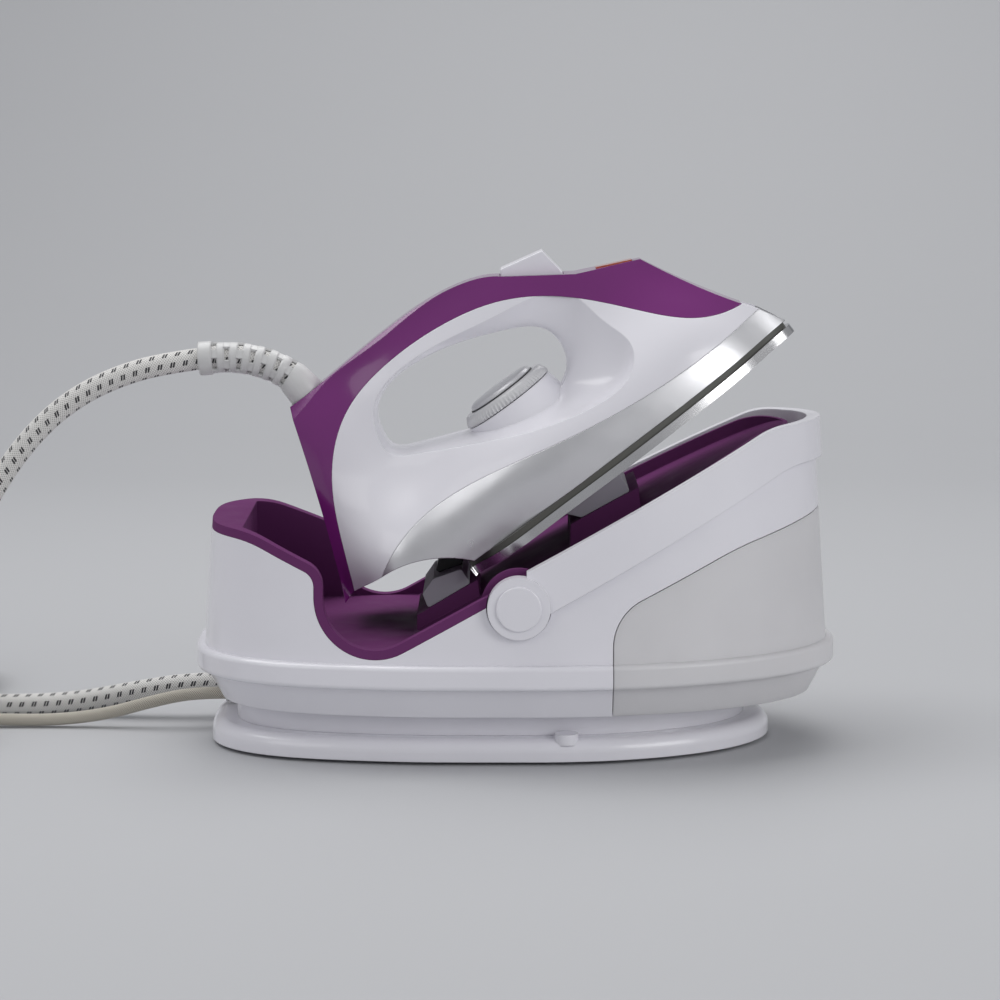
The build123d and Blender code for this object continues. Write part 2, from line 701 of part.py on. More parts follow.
# Water tank with its filler plug and outlet valve
tank_side = bay_face(-SLIDE_GAP)
tank_room_side = bay_face(-SLIDE_GAP - TANK_WALL)
tank_prism = side_prism(tank_side)
tank_room_prism = side_prism(tank_room_side)
tank_room_low = [plan_face(NECK_TOP + SEAT_GAP + TANK_WALL, BAND_LOW_INSET + TANK_WALL),
                 plan_face(RIM_TOP, WALL_INSET + TANK_WALL)]
tank_room_high = wall_hull(TANK_WALL, RIM_TOP, HULL_TOP)
tank_rear = BAY_X + SLIDE_GAP

with BuildPart() as tank_room:
    loft(tank_room_low)
    add(tank_room_high)
    add(tank_room_prism, mode=Mode.INTERSECT)

with BuildPart() as water_tank:
    add(outer_hull)
    add(tank_prism, mode=Mode.INTERSECT)
    split(bisect_by=Plane.XY.offset(NECK_TOP + SEAT_GAP), keep=Keep.TOP)
    add(tank_room.part, mode=Mode.SUBTRACT)
    with Locations((tank_rear - 1.0, PUMP_Y, PUMP_Z)):
        Cylinder(VALVE_RADIUS - VALVE_WALL, 2 * TANK_WALL, rotation=(0, 90, 0), align=ON_TOP,
                 mode=Mode.SUBTRACT)
    with Locations((TANK_PLUG_X, 0, RIM_TOP)):
        Cylinder(TANK_PLUG_RADIUS, HULL_TOP, align=ON_TOP, mode=Mode.SUBTRACT)
finish(water_tank, "water_tank")

with BuildPart() as tank_plug:
    with Locations((TANK_PLUG_X, 0, PLUG_LOW)):
        Cylinder(TANK_PLUG_RADIUS, HULL_TOP, align=ON_TOP)
    add(tank_prism, mode=Mode.INTERSECT)
finish(tank_plug, "tank_plug")

with BuildPart() as tank_valve:
    with Locations((tank_rear - VALVE_REACH, PUMP_Y, PUMP_Z)):
        Cylinder(VALVE_RADIUS, VALVE_REACH, rotation=(0, 90, 0), align=ON_TOP)
        Cylinder(VALVE_RADIUS - VALVE_WALL, VALVE_REACH, rotation=(0, 90, 0), align=ON_TOP,
                 mode=Mode.SUBTRACT)
finish(tank_valve, "tank_valve")

# Water and steam works inside the station
with BuildPart() as boiler_bracket:
    with Locations((*BOILER_PLACE, base_floor)):
        Cylinder(BRACKET_RADIUS, BOILER_LOW - base_floor, align=ON_TOP)
        Cylinder(BRACKET_RADIUS - BRACKET_WALL, BOILER_LOW - base_floor, align=ON_TOP, mode=Mode.SUBTRACT)
finish(boiler_bracket, "boiler_bracket")

with BuildPart() as boiler_heater:
    with Locations((*BOILER_PLACE, BOILER_LOW - HEATER_THICKNESS)):
        Cylinder(HEATER_RADIUS, HEATER_THICKNESS, align=ON_TOP)
finish(boiler_heater, "boiler_heater")

stub_z = (BOILER_LOW + BOILER_TOP) / 2
boiler_near = BOILER_PLACE[1] - BOILER_RADIUS
with BuildPart() as boiler:
    with Locations((*BOILER_PLACE, BOILER_LOW)):
        Cylinder(BOILER_RADIUS, BOILER_TOP - BOILER_LOW, align=ON_TOP)
    fillet(boiler.edges().group_by(Axis.Z)[-1], BRACKET_WALL)
    with BuildSketch(Plane.XZ.offset(STUB_REACH - boiler_near)):
        with Locations((BOILER_PLACE[0], stub_z)):
            Circle(TUBE_RADIUS)
    extrude(amount=-2 * STUB_REACH)
finish(boiler, "boiler")

with BuildPart() as boiler_thermostat:
    with Locations((BOILER_PLACE[0] + BOILER_RADIUS / 2, BOILER_PLACE[1], BOILER_TOP)):
        Cylinder(THERMOSTAT_RADIUS, THERMOSTAT_HEIGHT, align=ON_TOP)
finish(boiler_thermostat, "boiler_thermostat")

with BuildPart() as steam_valve:
    with Locations((BOILER_PLACE[0] - THERMOSTAT_RADIUS, BOILER_PLACE[1], BOILER_TOP)):
        Box(VALVE_BODY, VALVE_BODY, VALVE_BODY / 2, align=ON_TOP)
    fillet(steam_valve.edges().filter_by(Axis.Z), PAD_ROUND)
finish(steam_valve, "steam_valve")

pump_stub_y = PUMP_Y + PUMP_RADIUS + STUB_REACH
with BuildPart() as water_pump:
    with Locations((PUMP_REAR, PUMP_Y, PUMP_Z)):
        Cylinder(PUMP_RADIUS, PUMP_FRONT - PUMP_REAR, rotation=(0, 90, 0), align=ON_TOP)
    with Locations(((PUMP_REAR + PUMP_FRONT) / 2, PUMP_Y, base_floor)):
        Box(PUMP_FRONT - PUMP_REAR - 8.0, 2 * PUMP_BASE_HALF, PUMP_Z - base_floor - PUMP_RADIUS / 2,
            align=ON_TOP)
    with BuildSketch(Plane.XZ.offset(-pump_stub_y)):
        with Locations((BOILER_PLACE[0], stub_z)):
            Circle(TUBE_RADIUS)
    extrude(amount=STUB_REACH + PUMP_RADIUS)
finish(water_pump, "water_pump")

with BuildPart() as feed_hose:
    with BuildSketch(Plane.XZ.offset(STUB_REACH - boiler_near)):
        with Locations((BOILER_PLACE[0], stub_z)):
            Circle(TUBE_RADIUS)
            Circle(TUBE_BORE, mode=Mode.SUBTRACT)
    extrude(amount=boiler_near - STUB_REACH - pump_stub_y)
finish(feed_hose, "feed_hose")

socket_front = BAY_X - BAY_LINING
with BuildPart() as tank_socket:
    with Locations((socket_front - SOCKET_DEPTH, PUMP_Y, PUMP_Z)):
        Cylinder(VALVE_RADIUS + SLIDE_GAP + SOCKET_WALL, SOCKET_DEPTH, rotation=(0, 90, 0), align=ON_TOP)
        Cylinder(TUBE_BORE, SOCKET_DEPTH, rotation=(0, 90, 0), align=ON_TOP, mode=Mode.SUBTRACT)
    with Locations((socket_front, PUMP_Y, PUMP_Z)):
        Cylinder(VALVE_RADIUS + SLIDE_GAP, 2 * (SOCKET_DEPTH - SOCKET_WALL), rotation=(0, 90, 0),
                 mode=Mode.SUBTRACT)
finish(tank_socket, "tank_socket")

with BuildPart() as intake_hose:
    with Locations((PUMP_FRONT, PUMP_Y, PUMP_Z)):
        Cylinder(TUBE_RADIUS, socket_front - SOCKET_DEPTH - PUMP_FRONT, rotation=(0, 90, 0), align=ON_TOP)
        Cylinder(TUBE_BORE, socket_front - SOCKET_DEPTH - PUMP_FRONT, rotation=(0, 90, 0), align=ON_TOP,
                 mode=Mode.SUBTRACT)
finish(intake_hose, "intake_hose")

board_z = base_floor + BOARD_POST
with BuildPart() as control_board:
    with Locations((BOARD_CENTRE_X, 0, board_z)):
        Box(BOARD_LENGTH, BOARD_WIDTH, BOARD_THICKNESS, align=ON_TOP)
    with Locations((BOARD_CENTRE_X + 20, 18, board_z)):
        Box(20, 16, 14, align=ON_TOP)
    with Locations((BOARD_CENTRE_X + 20, -14, board_z)):
        Box(16, 24, 11, align=ON_TOP)
    with Locations((BOARD_CENTRE_X, 30, board_z), (BOARD_CENTRE_X, -30, board_z)):
        Cylinder(6, 15, align=ON_TOP)
finish(control_board, "control_board")

with BuildPart() as terminal_block:
    with Locations((BOARD_CENTRE_X - BOARD_LENGTH / 4, 0, board_z + BOARD_THICKNESS)):
        Box(14, 40, 12, align=ON_TOP)
        with GridLocations(0, 10, 1, 4):
            Cylinder(2.5, 12, align=ON_TOP, mode=Mode.SUBTRACT)
finish(terminal_block, "terminal_block")

# Glands where the hose and the lead enter the neck
for gland_name, gland_y, gland_radius, cord_radius in (
        ("hose_gland", HOSE_GLAND_Y, HOSE_GLAND_RADIUS, HOSE_RADIUS),
        ("mains_gland", LEAD_GLAND_Y, LEAD_GLAND_RADIUS, LEAD_RADIUS)):
    with BuildPart() as gland:
        with Locations((neck_rear - GLAND_REACH, gland_y, GLAND_Z)):
            Cylinder(gland_radius - SEAT_GAP / 3, GLAND_REACH + GLAND_ROOT, rotation=(0, 90, 0),
                     align=ON_TOP)
            Cylinder(cord_radius * 0.6, GLAND_REACH + GLAND_ROOT, rotation=(0, 90, 0), align=ON_TOP,
                     mode=Mode.SUBTRACT)
    finish(gland, gland_name)

# Iron: its planes, its hull and its side profiles
iron_along = (cos(radians(IRON_TILT)), 0, sin(radians(IRON_TILT)))
iron_up = (-sin(radians(IRON_TILT)), 0, cos(radians(IRON_TILT)))
iron_origin = (SOLE_REAR[0], 0, SOLE_REAR[1])
iron_side = Plane(origin=iron_origin, x_dir=iron_along, z_dir=(0, -1, 0))
iron_sole = Plane(origin=iron_origin, x_dir=iron_along, z_dir=iron_up)


def boat_face(level, half, nose, stern):
    """Boat-shaped plan of the iron at a level; stern lists (u, share of the half width) to the rear."""
    bow = ((nose, 0.0), (nose - 10, 0.22), (nose - 34, 0.53), (nose - 74, 0.80), (nose - 124, 0.96),
           (nose - 168, 1.0))
    near = [(u, -share * half) for u, share in (*bow, *stern)]
    far = [(u, -y) for u, y in near]
    with BuildSketch(iron_sole.offset(level)) as plan:
        with BuildLine():
            Spline(*near, tangents=[(0, -1), (0, 1)])
            Spline(*far, tangents=[(0, 1), (0, -1)])
        make_face()
    return plan.sketch


def sole_face(level, inset):
    """Plan of the sole, drawn in by an amount."""
    stern = ((16 + inset, 0.93), (4 + inset, 0.72), (inset, 0.0))
    return boat_face(level, SOLE_HALF - inset, SOLE_LENGTH - 1.6 * inset, stern)


def iron_hull(inset):
    """Solid inside the iron's side walls, drawn in by an amount."""
    sections = []
    for level, half, nose in IRON_SECTIONS:
        heel = HEEL_REAR + inset
        stern = ((0.0, 0.94), (heel + 26, 0.80), (heel + 6, 0.45), (heel, 0.0))
        sections.append(boat_face(level, half - inset, nose - 1.6 * inset, stern))
    with BuildPart() as hull:
        loft(sections)
    return hull.part


def iron_prism(face):
    """Prism across the iron from a face drawn from its side."""
    with BuildPart() as prism:
        extrude(face, ALL_WIDE / 2, both=True)
    return prism.part


with BuildSketch(iron_side) as skirt_side:
    with BuildLine():
        Spline(*SKIRT_TOP)
        Spline(*SKIRT_BACK)
        Polyline(SKIRT_BACK[-1], NOSE_LOW, NOSE_SKIRT)
    make_face()

with BuildSketch(iron_side) as body_side:
    with BuildLine():
        Spline(*SKIRT_TOP)
        Polyline(SKIRT_HEEL, COVER_HEEL)
        Spline(*COVER_EDGE)
        Polyline(NOSE_COVER, NOSE_SKIRT)
    make_face()

with BuildSketch(iron_side) as cover_side:
    with BuildLine():
        Spline(*COVER_EDGE)
        Spline(*COVER_NOSE)
        Polyline(PEAK, TRIGGER_FRONT, HANDLE_FRONT)
        Spline(*HANDLE_TOP)
        Spline(*COVER_BACK)
        Polyline(HEEL_TIP, COVER_HEEL)
    make_face()


def hole_face(level, growths):
    """Outline of the handle's hole at a distance from the iron's middle, each point moved outwards."""
    moved = []
    for number, ((u, w), grown) in enumerate(zip(HANDLE_HOLE, growths)):
        before = HANDLE_HOLE[number - 1]
        after = HANDLE_HOLE[(number + 1) % len(HANDLE_HOLE)]
        outward = Vector(before[1] - after[1], after[0] - before[0]).normalized()
        moved.append((u + grown * outward.X, w + grown * outward.Y))
    with BuildSketch(iron_side.offset(level)) as outline:
        with BuildLine():
            Spline(*moved, periodic=True)
        make_face()
    return outline.sketch


def flare_growth(reach, half, level):
    """How far a point of the hole's edge has moved out at a distance from the iron's middle."""
    share = (level - FLARE_START) / (half - FLARE_START)
    return reach * (share * share if share < 1 else (1 + share) / 2)


def hole_flare(wall):
    """Funnel that opens the handle's hole towards the far side, grown by a wall."""
    sections = []
    for level in FLARE_LEVELS:
        growths = [wall + flare_growth(reach, half, level) for reach, half in HOLE_FLARE]
        sections.append(hole_face(-level, growths))
    with BuildPart() as funnel:
        loft(sections)
    return funnel.part


flare_cut = hole_flare(0.0)
flare_wall = hole_flare(HOLE_WALL)
with BuildPart() as far_side:
    Box(2 * ALL_WIDE, ALL_WIDE, 2 * ALL_WIDE, align=(Align.CENTER, Align.MIN, Align.CENTER))

iron_outer = iron_hull(0.0)
iron_inner = iron_hull(IRON_WALL)
skirt_prism = iron_prism(skirt_side.sketch)
body_prism = iron_prism(body_side.sketch)
cover_prism = iron_prism(cover_side.sketch)
hole_prism = iron_prism(hole_face(0.0, [0.0] * len(HANDLE_HOLE)))
hole_wall_prism = iron_prism(hole_face(0.0, [HOLE_WALL] * len(HANDLE_HOLE)))

# Sole, heater casting and heat shield
sole_plan = sole_face(0.0, 0.0)
shield_plan = sole_face(SOLE_PLATE, SHIELD_INSET)
shield_room = sole_face(SOLE_PLATE, CASTING_INSET - 1.0)
casting_plan = sole_face(SOLE_PLATE, CASTING_INSET)
vent_places = [(SOLE_LENGTH - 30 - 22 * step, side * (12 + 5.2 * step))
               for step in range(6) for side in (-1, 1)]

with BuildPart() as soleplate:
    extrude(sole_plan, SOLE_PLATE)
    with BuildSketch(iron_sole):
        with Locations(*vent_places):
            Circle(VENT_RADIUS)
    extrude(amount=SOLE_PLATE / 2, mode=Mode.SUBTRACT)
finish(soleplate, "soleplate")

with BuildPart() as heater_casting:
    extrude(casting_plan, CASTING_TOP - SOLE_PLATE)
finish(heater_casting, "heater_casting")

with BuildPart() as heat_shield:
    extrude(shield_plan, SHIELD_TOP - SOLE_PLATE)
    extrude(shield_room, SHIELD_TOP - SOLE_PLATE, mode=Mode.SUBTRACT)
finish(heat_shield, "heat_shield")

# Skirt, body and top cover
with BuildPart() as skirt:
    add(iron_outer)
    add(skirt_prism, mode=Mode.INTERSECT)
    add(iron_inner, mode=Mode.SUBTRACT)
finish(skirt, "skirt")

with BuildPart() as body_room:
    add(iron_inner)
    add(far_side.part, mode=Mode.INTERSECT)
    add(hole_wall_prism, mode=Mode.SUBTRACT)
    add(flare_wall, mode=Mode.SUBTRACT)

# Steam trigger: a wedge in its own frame on the top cover, and the slot that it works in
trigger_plane = Plane(
    origin=(*iron_point(*TRIGGER_ROOT)[:1], 0, iron_point(*TRIGGER_ROOT)[1]),
    x_dir=(cos(radians(IRON_TILT + TRIGGER_SLOPE)), 0, sin(radians(IRON_TILT + TRIGGER_SLOPE))),
    z_dir=(0, -1, 0))

with BuildPart() as steam_trigger:
    with BuildSketch(trigger_plane):
        with BuildLine():
            Polyline((TRIGGER_BACK, TRIGGER_FOOT), (TRIGGER_BACK, TRIGGER_BACK_TOP), TRIGGER_PEAK,
                     (TRIGGER_FRONT_END, TRIGGER_FRONT_TOP), (TRIGGER_FRONT_END, TRIGGER_FOOT),
                     close=True)
        make_face()
    extrude(amount=TRIGGER_HALF, both=True)
    fillet(steam_trigger.edges().filter_by(Axis.Y), 0.9)
    trigger_rims = steam_trigger.edges().group_by(Axis.Y)
    fillet(trigger_rims[0] + trigger_rims[-1], 0.7)
finish(steam_trigger, "steam_trigger")

with BuildPart() as trigger_slot:
    with BuildSketch(trigger_plane):
        with Locations((TRIGGER_BACK - TRIGGER_GAP, SLOT_TOP)):
            Rectangle(TRIGGER_FRONT_END - TRIGGER_BACK + 2 * TRIGGER_GAP,
                      SLOT_TOP - TRIGGER_FOOT + TRIGGER_TRAVEL + TRIGGER_GAP,
                      align=(Align.MIN, Align.MAX))
    extrude(amount=TRIGGER_HALF + TRIGGER_GAP, both=True)

switch_top = TRIGGER_FOOT - TRIGGER_TRAVEL - TRIGGER_GAP
with BuildPart() as steam_switch:
    with BuildSketch(trigger_plane):
        with Locations((SWITCH_START, switch_top)):
            Rectangle(SWITCH_LENGTH, SWITCH_HEIGHT, align=(Align.MIN, Align.MAX))
    extrude(amount=SWITCH_HALF, both=True)
finish(steam_switch, "steam_switch")

with BuildPart() as switch_seat:
    with BuildSketch(trigger_plane):
        with Locations((SWITCH_START, switch_top - SWITCH_HEIGHT)):
            Rectangle(SWITCH_LENGTH, SWITCH_SEAT, align=(Align.MIN, Align.MAX))
    extrude(amount=SWITCH_HALF, both=True)
    add(hole_prism, mode=Mode.SUBTRACT)

# Lamp lens let into the top cover
lens_slope = (PEAK[1] - TRIGGER_FRONT[1]) / (PEAK[0] - TRIGGER_FRONT[0])


def lens_part(grown):
    """Lens block on the cover's front slope, grown by a gap."""
    ends = [(u, PEAK[1] + lens_slope * (u - PEAK[0])) for u in (LENS_START_U - grown, LENS_END_U + grown)]
    outline = [(u, w - LENS_SUNK) for u, w in ends] + [(u, w + LENS_PROUD) for u, w in reversed(ends)]
    with BuildPart() as lens:
        with BuildSketch(iron_side):
            with BuildLine():
                Polyline(*outline, close=True)
            make_face()
        extrude(amount=LENS_HALF + grown, both=True)
    return lens.part


lamp_block = lens_part(0.0)
lamp_pocket = lens_part(SEAT_GAP / 3)
with BuildPart() as lamp_lens:
    add(lamp_block)
    fillet(lamp_lens.edges().sort_by(Axis.Z)[-1], 0.5)
finish(lamp_lens, "lamp_lens")

# Body and top cover of the iron
with BuildPart() as dial_seat:
    with BuildSketch(iron_sole.offset(THERMOSTAT_TOP + 6.0)):
        with Locations((DIAL_CENTRE_U, 0)):
            Circle(DIAL_SEAT_RADIUS)
    extrude(amount=DIAL_BASE - SLIDE_GAP - THERMOSTAT_TOP - 6.0)


def dial_cone(inset):
    """Cone below the dial, drawn in by a wall."""
    with BuildPart() as cone:
        with BuildSketch(iron_sole.offset(MOUND_LOW)):
            with Locations((DIAL_CENTRE_U, 0)):
                Circle(MOUND_RADIUS - inset)
        extrude(amount=DIAL_BASE - SLIDE_GAP - MOUND_LOW - inset, taper=MOUND_TAPER)
    return cone.part


dial_mound = dial_cone(0.0)
dial_mound_room = dial_cone(MOUND_WALL)

with BuildPart() as dial_space:
    with BuildSketch(iron_sole.offset(DIAL_BASE - SLIDE_GAP)):
        with Locations((DIAL_CENTRE_U, 0)):
            Circle(DIAL_RADIUS + 2 * SLIDE_GAP)
    extrude(amount=DIAL_SKIRT + DIAL_CAP + 2.0)
    with BuildSketch(iron_sole.offset(THERMOSTAT_TOP)):
        with Locations((DIAL_CENTRE_U, 0)):
            Circle(SPINDLE_RADIUS + PIN_GAP)
    extrude(amount=DIAL_BASE - THERMOSTAT_TOP)

with BuildPart() as body_half:
    add(iron_outer)
    add(body_prism, mode=Mode.INTERSECT)
    add(far_side.part, mode=Mode.INTERSECT)
    add(hole_prism, mode=Mode.SUBTRACT)
    add(flare_cut, mode=Mode.SUBTRACT)
    add(body_room.part, mode=Mode.SUBTRACT)

with BuildPart() as iron_body:
    add(body_half.part)
    mirror(about=Plane.XZ)
    add(dial_mound)
    add(dial_mound_room, mode=Mode.SUBTRACT)
    add(dial_seat.part)
    add(dial_space.part, mode=Mode.SUBTRACT)
    add(switch_seat.part)
    add(trigger_slot.part, mode=Mode.SUBTRACT)
finish(iron_body, "iron_body")

with BuildSketch(iron_side) as cover_room_top:
    with BuildLine():
        Polyline(*COVER_ROOM_TOP, close=True)
    make_face()

with BuildSketch(iron_side) as cover_room_rear:
    with BuildLine():
        Polyline(*COVER_ROOM_REAR, close=True)
    make_face()

cover_room_prisms = [iron_prism(face.sketch) for face in (cover_room_top, cover_room_rear)]
with BuildPart() as cover_room:
    for room in cover_room_prisms:
        add(room)
    add(iron_inner, mode=Mode.INTERSECT)

def facet_block(side):
    """Wedge that takes off one of the handle's top edges."""
    faces = []
    facet_points = (*HANDLE_TOP, FACET_END)
    for level, share in ((FACET_INNER, 0.0), (FACET_OUTER, 1.0)):
        line = [(u, w + FACET_LIFT - share * drop) for (u, w), drop in zip(facet_points, FACET_DROPS)]
        with BuildSketch(iron_side.offset(side * level)) as outline:
            with BuildLine():
                Spline(*line)
                Polyline(line[-1], (line[-1][0], FACET_TOP), (line[0][0], FACET_TOP), line[0])
            make_face()
        faces.append(outline.sketch)
    with BuildPart() as block:
        loft(faces, ruled=True)
    return block.part


facet_blocks = [facet_block(side) for side in (-1, 1)]
with BuildPart() as top_cover:
    add(iron_outer)
    add(cover_prism, mode=Mode.INTERSECT)
    for block in facet_blocks:
        add(block, mode=Mode.SUBTRACT)
    add(cover_room.part, mode=Mode.SUBTRACT)
    add(trigger_slot.part, mode=Mode.SUBTRACT)
    add(lamp_pocket, mode=Mode.SUBTRACT)
    with BuildSketch(iron_sole.offset(BOOT_SEAT[1])):
        with Locations((BOOT_SEAT[0], 0)):
            Circle(BOOT_SEAT_RADIUS + SCREW_GAP)
    extrude(amount=BOOT_SEAT_RADIUS, mode=Mode.SUBTRACT)
finish(top_cover, "top_cover")

# Dial, its spindle and the thermostat below it
with BuildPart() as temperature_dial:
    with BuildSketch(iron_sole.offset(DIAL_BASE)):
        with Locations((DIAL_CENTRE_U, 0)):
            Circle(DIAL_RADIUS)
            with PolarLocations(DIAL_RADIUS, DIAL_RIBS):
                Circle(DIAL_RIB_RADIUS, mode=Mode.SUBTRACT)
    extrude(amount=DIAL_SKIRT)
    with BuildSketch(iron_sole.offset(DIAL_BASE + DIAL_SKIRT)):
        with Locations((DIAL_CENTRE_U, 0)):
            Circle(DIAL_CAP_RADIUS)
    extrude(amount=DIAL_CAP, taper=8)
finish(temperature_dial, "temperature_dial")

with BuildPart() as dial_spindle:
    with BuildSketch(iron_sole.offset(THERMOSTAT_TOP + SEAT_GAP)):
        with Locations((DIAL_CENTRE_U, 0)):
            Circle(SPINDLE_RADIUS)
    extrude(amount=DIAL_BASE - THERMOSTAT_TOP - SEAT_GAP)
finish(dial_spindle, "dial_spindle")


def iron_block(level, u, y, length, width, height):
    """Block on a level of the iron, in its own builder."""
    with BuildPart() as block:
        with BuildSketch(iron_sole.offset(level)):
            with Locations((u, y)):
                RectangleRounded(length, width, PAD_ROUND)
        extrude(amount=height)
    return block


thermostat_height = THERMOSTAT_TOP - CASTING_TOP
finish(iron_block(CASTING_TOP, DIAL_CENTRE_U, 0, 34.0, 26.0, thermostat_height), "iron_thermostat")
finish(iron_block(CASTING_TOP, DIAL_CENTRE_U + 55, 0, 16.0, 34.0, 10.0), "iron_terminal")
finish(iron_block(CASTING_TOP, DIAL_CENTRE_U, 27.0, 30.0, 8.0, 6.0), "thermal_fuse")

with BuildPart() as steam_nipple:
    with BuildSketch(iron_sole.offset(CASTING_TOP)):
        with Locations((24.0, 0)):
            Circle(TUBE_RADIUS + 2.0)
    extrude(amount=4.0)
    with BuildSketch(iron_sole.offset(CASTING_TOP + 4.0)):
        with Locations((24.0, 0)):
            Circle(TUBE_RADIUS)
    extrude(amount=12.0)
finish(steam_nipple, "steam_nipple")

with BuildPart() as casting_screws:
    with BuildSketch(iron_sole.offset(CASTING_TOP)):
        with Locations((24.0, -30.0), (24.0, 30.0), (160.0, 0.0)):
            Circle(SCREW_HEAD_RADIUS)
    extrude(amount=SCREW_HEAD)
finish(casting_screws, "casting_screws")

# Hose boot on the handle's rear end, curving back to level
boot_stations = ((*iron_point(*BOOT_SEAT), IRON_TILT + 90.0, BOOT_SEAT_RADIUS), *BOOT_BENDS,
                 (*BOOT_END, BOOT_END_HEADING, BOOT_END_RADIUS))
boot_faces = []
for boot_x, boot_z, heading, boot_radius in boot_stations:
    boot_plane = Plane(origin=(boot_x, 0, boot_z), x_dir=(0, 1, 0),
                       z_dir=(cos(radians(heading)), 0, sin(radians(heading))))
    with BuildSketch(boot_plane) as boot_ring:
        Circle(boot_radius)
    boot_faces.append(boot_ring.sketch)
with BuildPart() as hose_boot:
    loft(boot_faces)
finish(hose_boot, "hose_boot")

# Cords: free stretches on straight runs and arcs, coils on biarcs

def cord_tube(name, points, radius):
    """Tube along a hand-chosen route, each corner rounded as far as its runs allow."""
    places = [Vector(point) for point in points]
    runs = [after - before for before, after in zip(places, places[1:])]
    radii = []
    for before, after in zip(runs, runs[1:]):
        half_turn = radians(before.get_angle(after) / 2)
        radii.append(0.45 * min(before.length, after.length) / tan(half_turn))
    with BuildPart() as tube:
        with BuildLine() as route:
            FilletPolyline(*places, radius=radii)
        with BuildSketch(Plane(origin=places[0], z_dir=runs[0])):
            Circle(radius)
        sweep()
    length = route.wire().length
    share = tube.part.volume / (pi * radius ** 2 * length)
    print(f"{name}: length {length:.0f}, least radius {min(radii):.0f}, volume share {share:.4f}")
    finish(tube, name)


def coil_stations(centre, inner, turns, step, low, start, way):
    """Points and headings of a coil: in on the lower layer, a half turn up, and out on the upper one."""
    first = int(round(turns[0] * 4))
    last = first + 2 + int(round(turns[1] * 4))
    stations = []
    for quarter in range(last + 1):
        if quarter <= first:
            reach = inner + step * (first - quarter) / 4
            height = low
            drift = -step / (2 * pi) if quarter < first else 0.0
            climb = 0.0
        elif quarter <= first + 2:
            reach = inner
            height = low + step * (quarter - first) / 2
            drift = 0.0
            climb = 1.5 * step / pi if quarter == first + 1 else 0.0
        else:
            reach = inner + step * (quarter - first - 2) / 4
            height = low + step
            drift = step / (2 * pi)
            climb = 0.0
        angle = radians(start) + way * quarter * pi / 2
        outward = Vector(cos(angle), sin(angle), 0)
        round_way = Vector(-sin(angle), cos(angle), 0) * way
        place = Vector(*centre, height) + outward * reach
        heading = (outward * drift + round_way * reach + Vector(0, 0, climb)).normalized()
        stations.append((place, heading))
    return stations


def biarc(start, start_heading, end, end_heading):
    """Two arcs in the current line builder that join two places with given headings."""
    chord = end - start
    both = start_heading + end_heading
    apart = 2 * (1 - start_heading.dot(end_heading))
    along = chord.dot(both)
    reach = (-along + sqrt(along ** 2 + apart * chord.dot(chord))) / apart
    middle = (start + end + (start_heading - end_heading) * reach) * 0.5
    middle_heading = ((end - end_heading * reach) - (start + start_heading * reach)).normalized()
    TangentArc(start, middle, tangent=start_heading)
    TangentArc(middle, end, tangent=middle_heading)


def coil_tube(name, stations, radius):
    """Coil swept along its biarcs, with its length and its least gap to itself printed."""
    with BuildPart() as coil:
        with BuildLine() as route:
            for (place, heading), (next_place, next_heading) in zip(stations, stations[1:]):
                biarc(place, heading, next_place, next_heading)
        with BuildSketch(Plane(origin=stations[0][0], z_dir=stations[0][1])):
            Circle(radius)
        sweep()
    wire = route.wire()
    count = 40 * len(stations)
    samples = [wire.position_at(step / count) for step in range(count + 1)]
    spacing = wire.length / count
    skip = int(4 * radius / spacing) + 1
    nearest = min((samples[a] - samples[b]).length for a in range(0, count, 2)
                  for b in range(a + skip, count + 1, 2))
    share = coil.part.volume / (pi * radius ** 2 * wire.length)
    gap = nearest - 2 * radius
    print(f"{name}: length {wire.length:.0f}, least gap {gap:.2f}, volume share {share:.4f}")
    finish(coil, name)


def coil_tie(name, centre, inner, outer, top, radius, angle):
    """Strap round a coil's turns at one place."""
    heading = (-sin(radians(angle)), cos(radians(angle)), 0)
    outward = (cos(radians(angle)), sin(radians(angle)), 0)
    tie_plane = Plane(origin=(*centre, 0), x_dir=outward, z_dir=(heading[0], heading[1], 0))
    low_reach = inner - radius - COIL_GAP
    wide = outer + radius + COIL_GAP - low_reach
    high = top + radius + COIL_GAP
    side = 1.0 if tie_plane.y_dir.Z > 0 else -1.0
    with BuildPart() as tie:
        with BuildSketch(tie_plane):
            with Locations((low_reach + wide / 2, side * (high + TIE_THICKNESS) / 2)):
                Rectangle(wide + 2 * TIE_THICKNESS, high + TIE_THICKNESS)
            with Locations((low_reach + wide / 2, side * (high / 2 + TIE_THICKNESS - COIL_GAP))):
                Rectangle(wide, high - TIE_THICKNESS, mode=Mode.SUBTRACT)
        extrude(amount=TIE_WIDTH / 2, both=True)
    finish(tie, name)


hose_step = COIL_SPREAD * 2 * HOSE_RADIUS + COIL_GAP
lead_step = COIL_SPREAD * 2 * LEAD_RADIUS + COIL_GAP
hose_low = HOSE_RADIUS + TIE_THICKNESS + COIL_GAP
lead_low = LEAD_RADIUS + TIE_THICKNESS + COIL_GAP
gland_end = neck_rear - GLAND_REACH
hose_turns = coil_stations(HOSE_COIL_CENTRE, HOSE_COIL_INNER, HOSE_COIL_TURNS, hose_step, hose_low,
                           270.0, -1)
lead_turns = coil_stations(LEAD_COIL_CENTRE, LEAD_COIL_INNER, LEAD_COIL_TURNS, lead_step, lead_low,
                           90.0, 1)
hose_in, hose_in_heading = hose_turns[0]
hose_out, hose_out_heading = hose_turns[-1]
lead_in, lead_in_heading = lead_turns[0]
lead_out, lead_out_heading = lead_turns[-1]

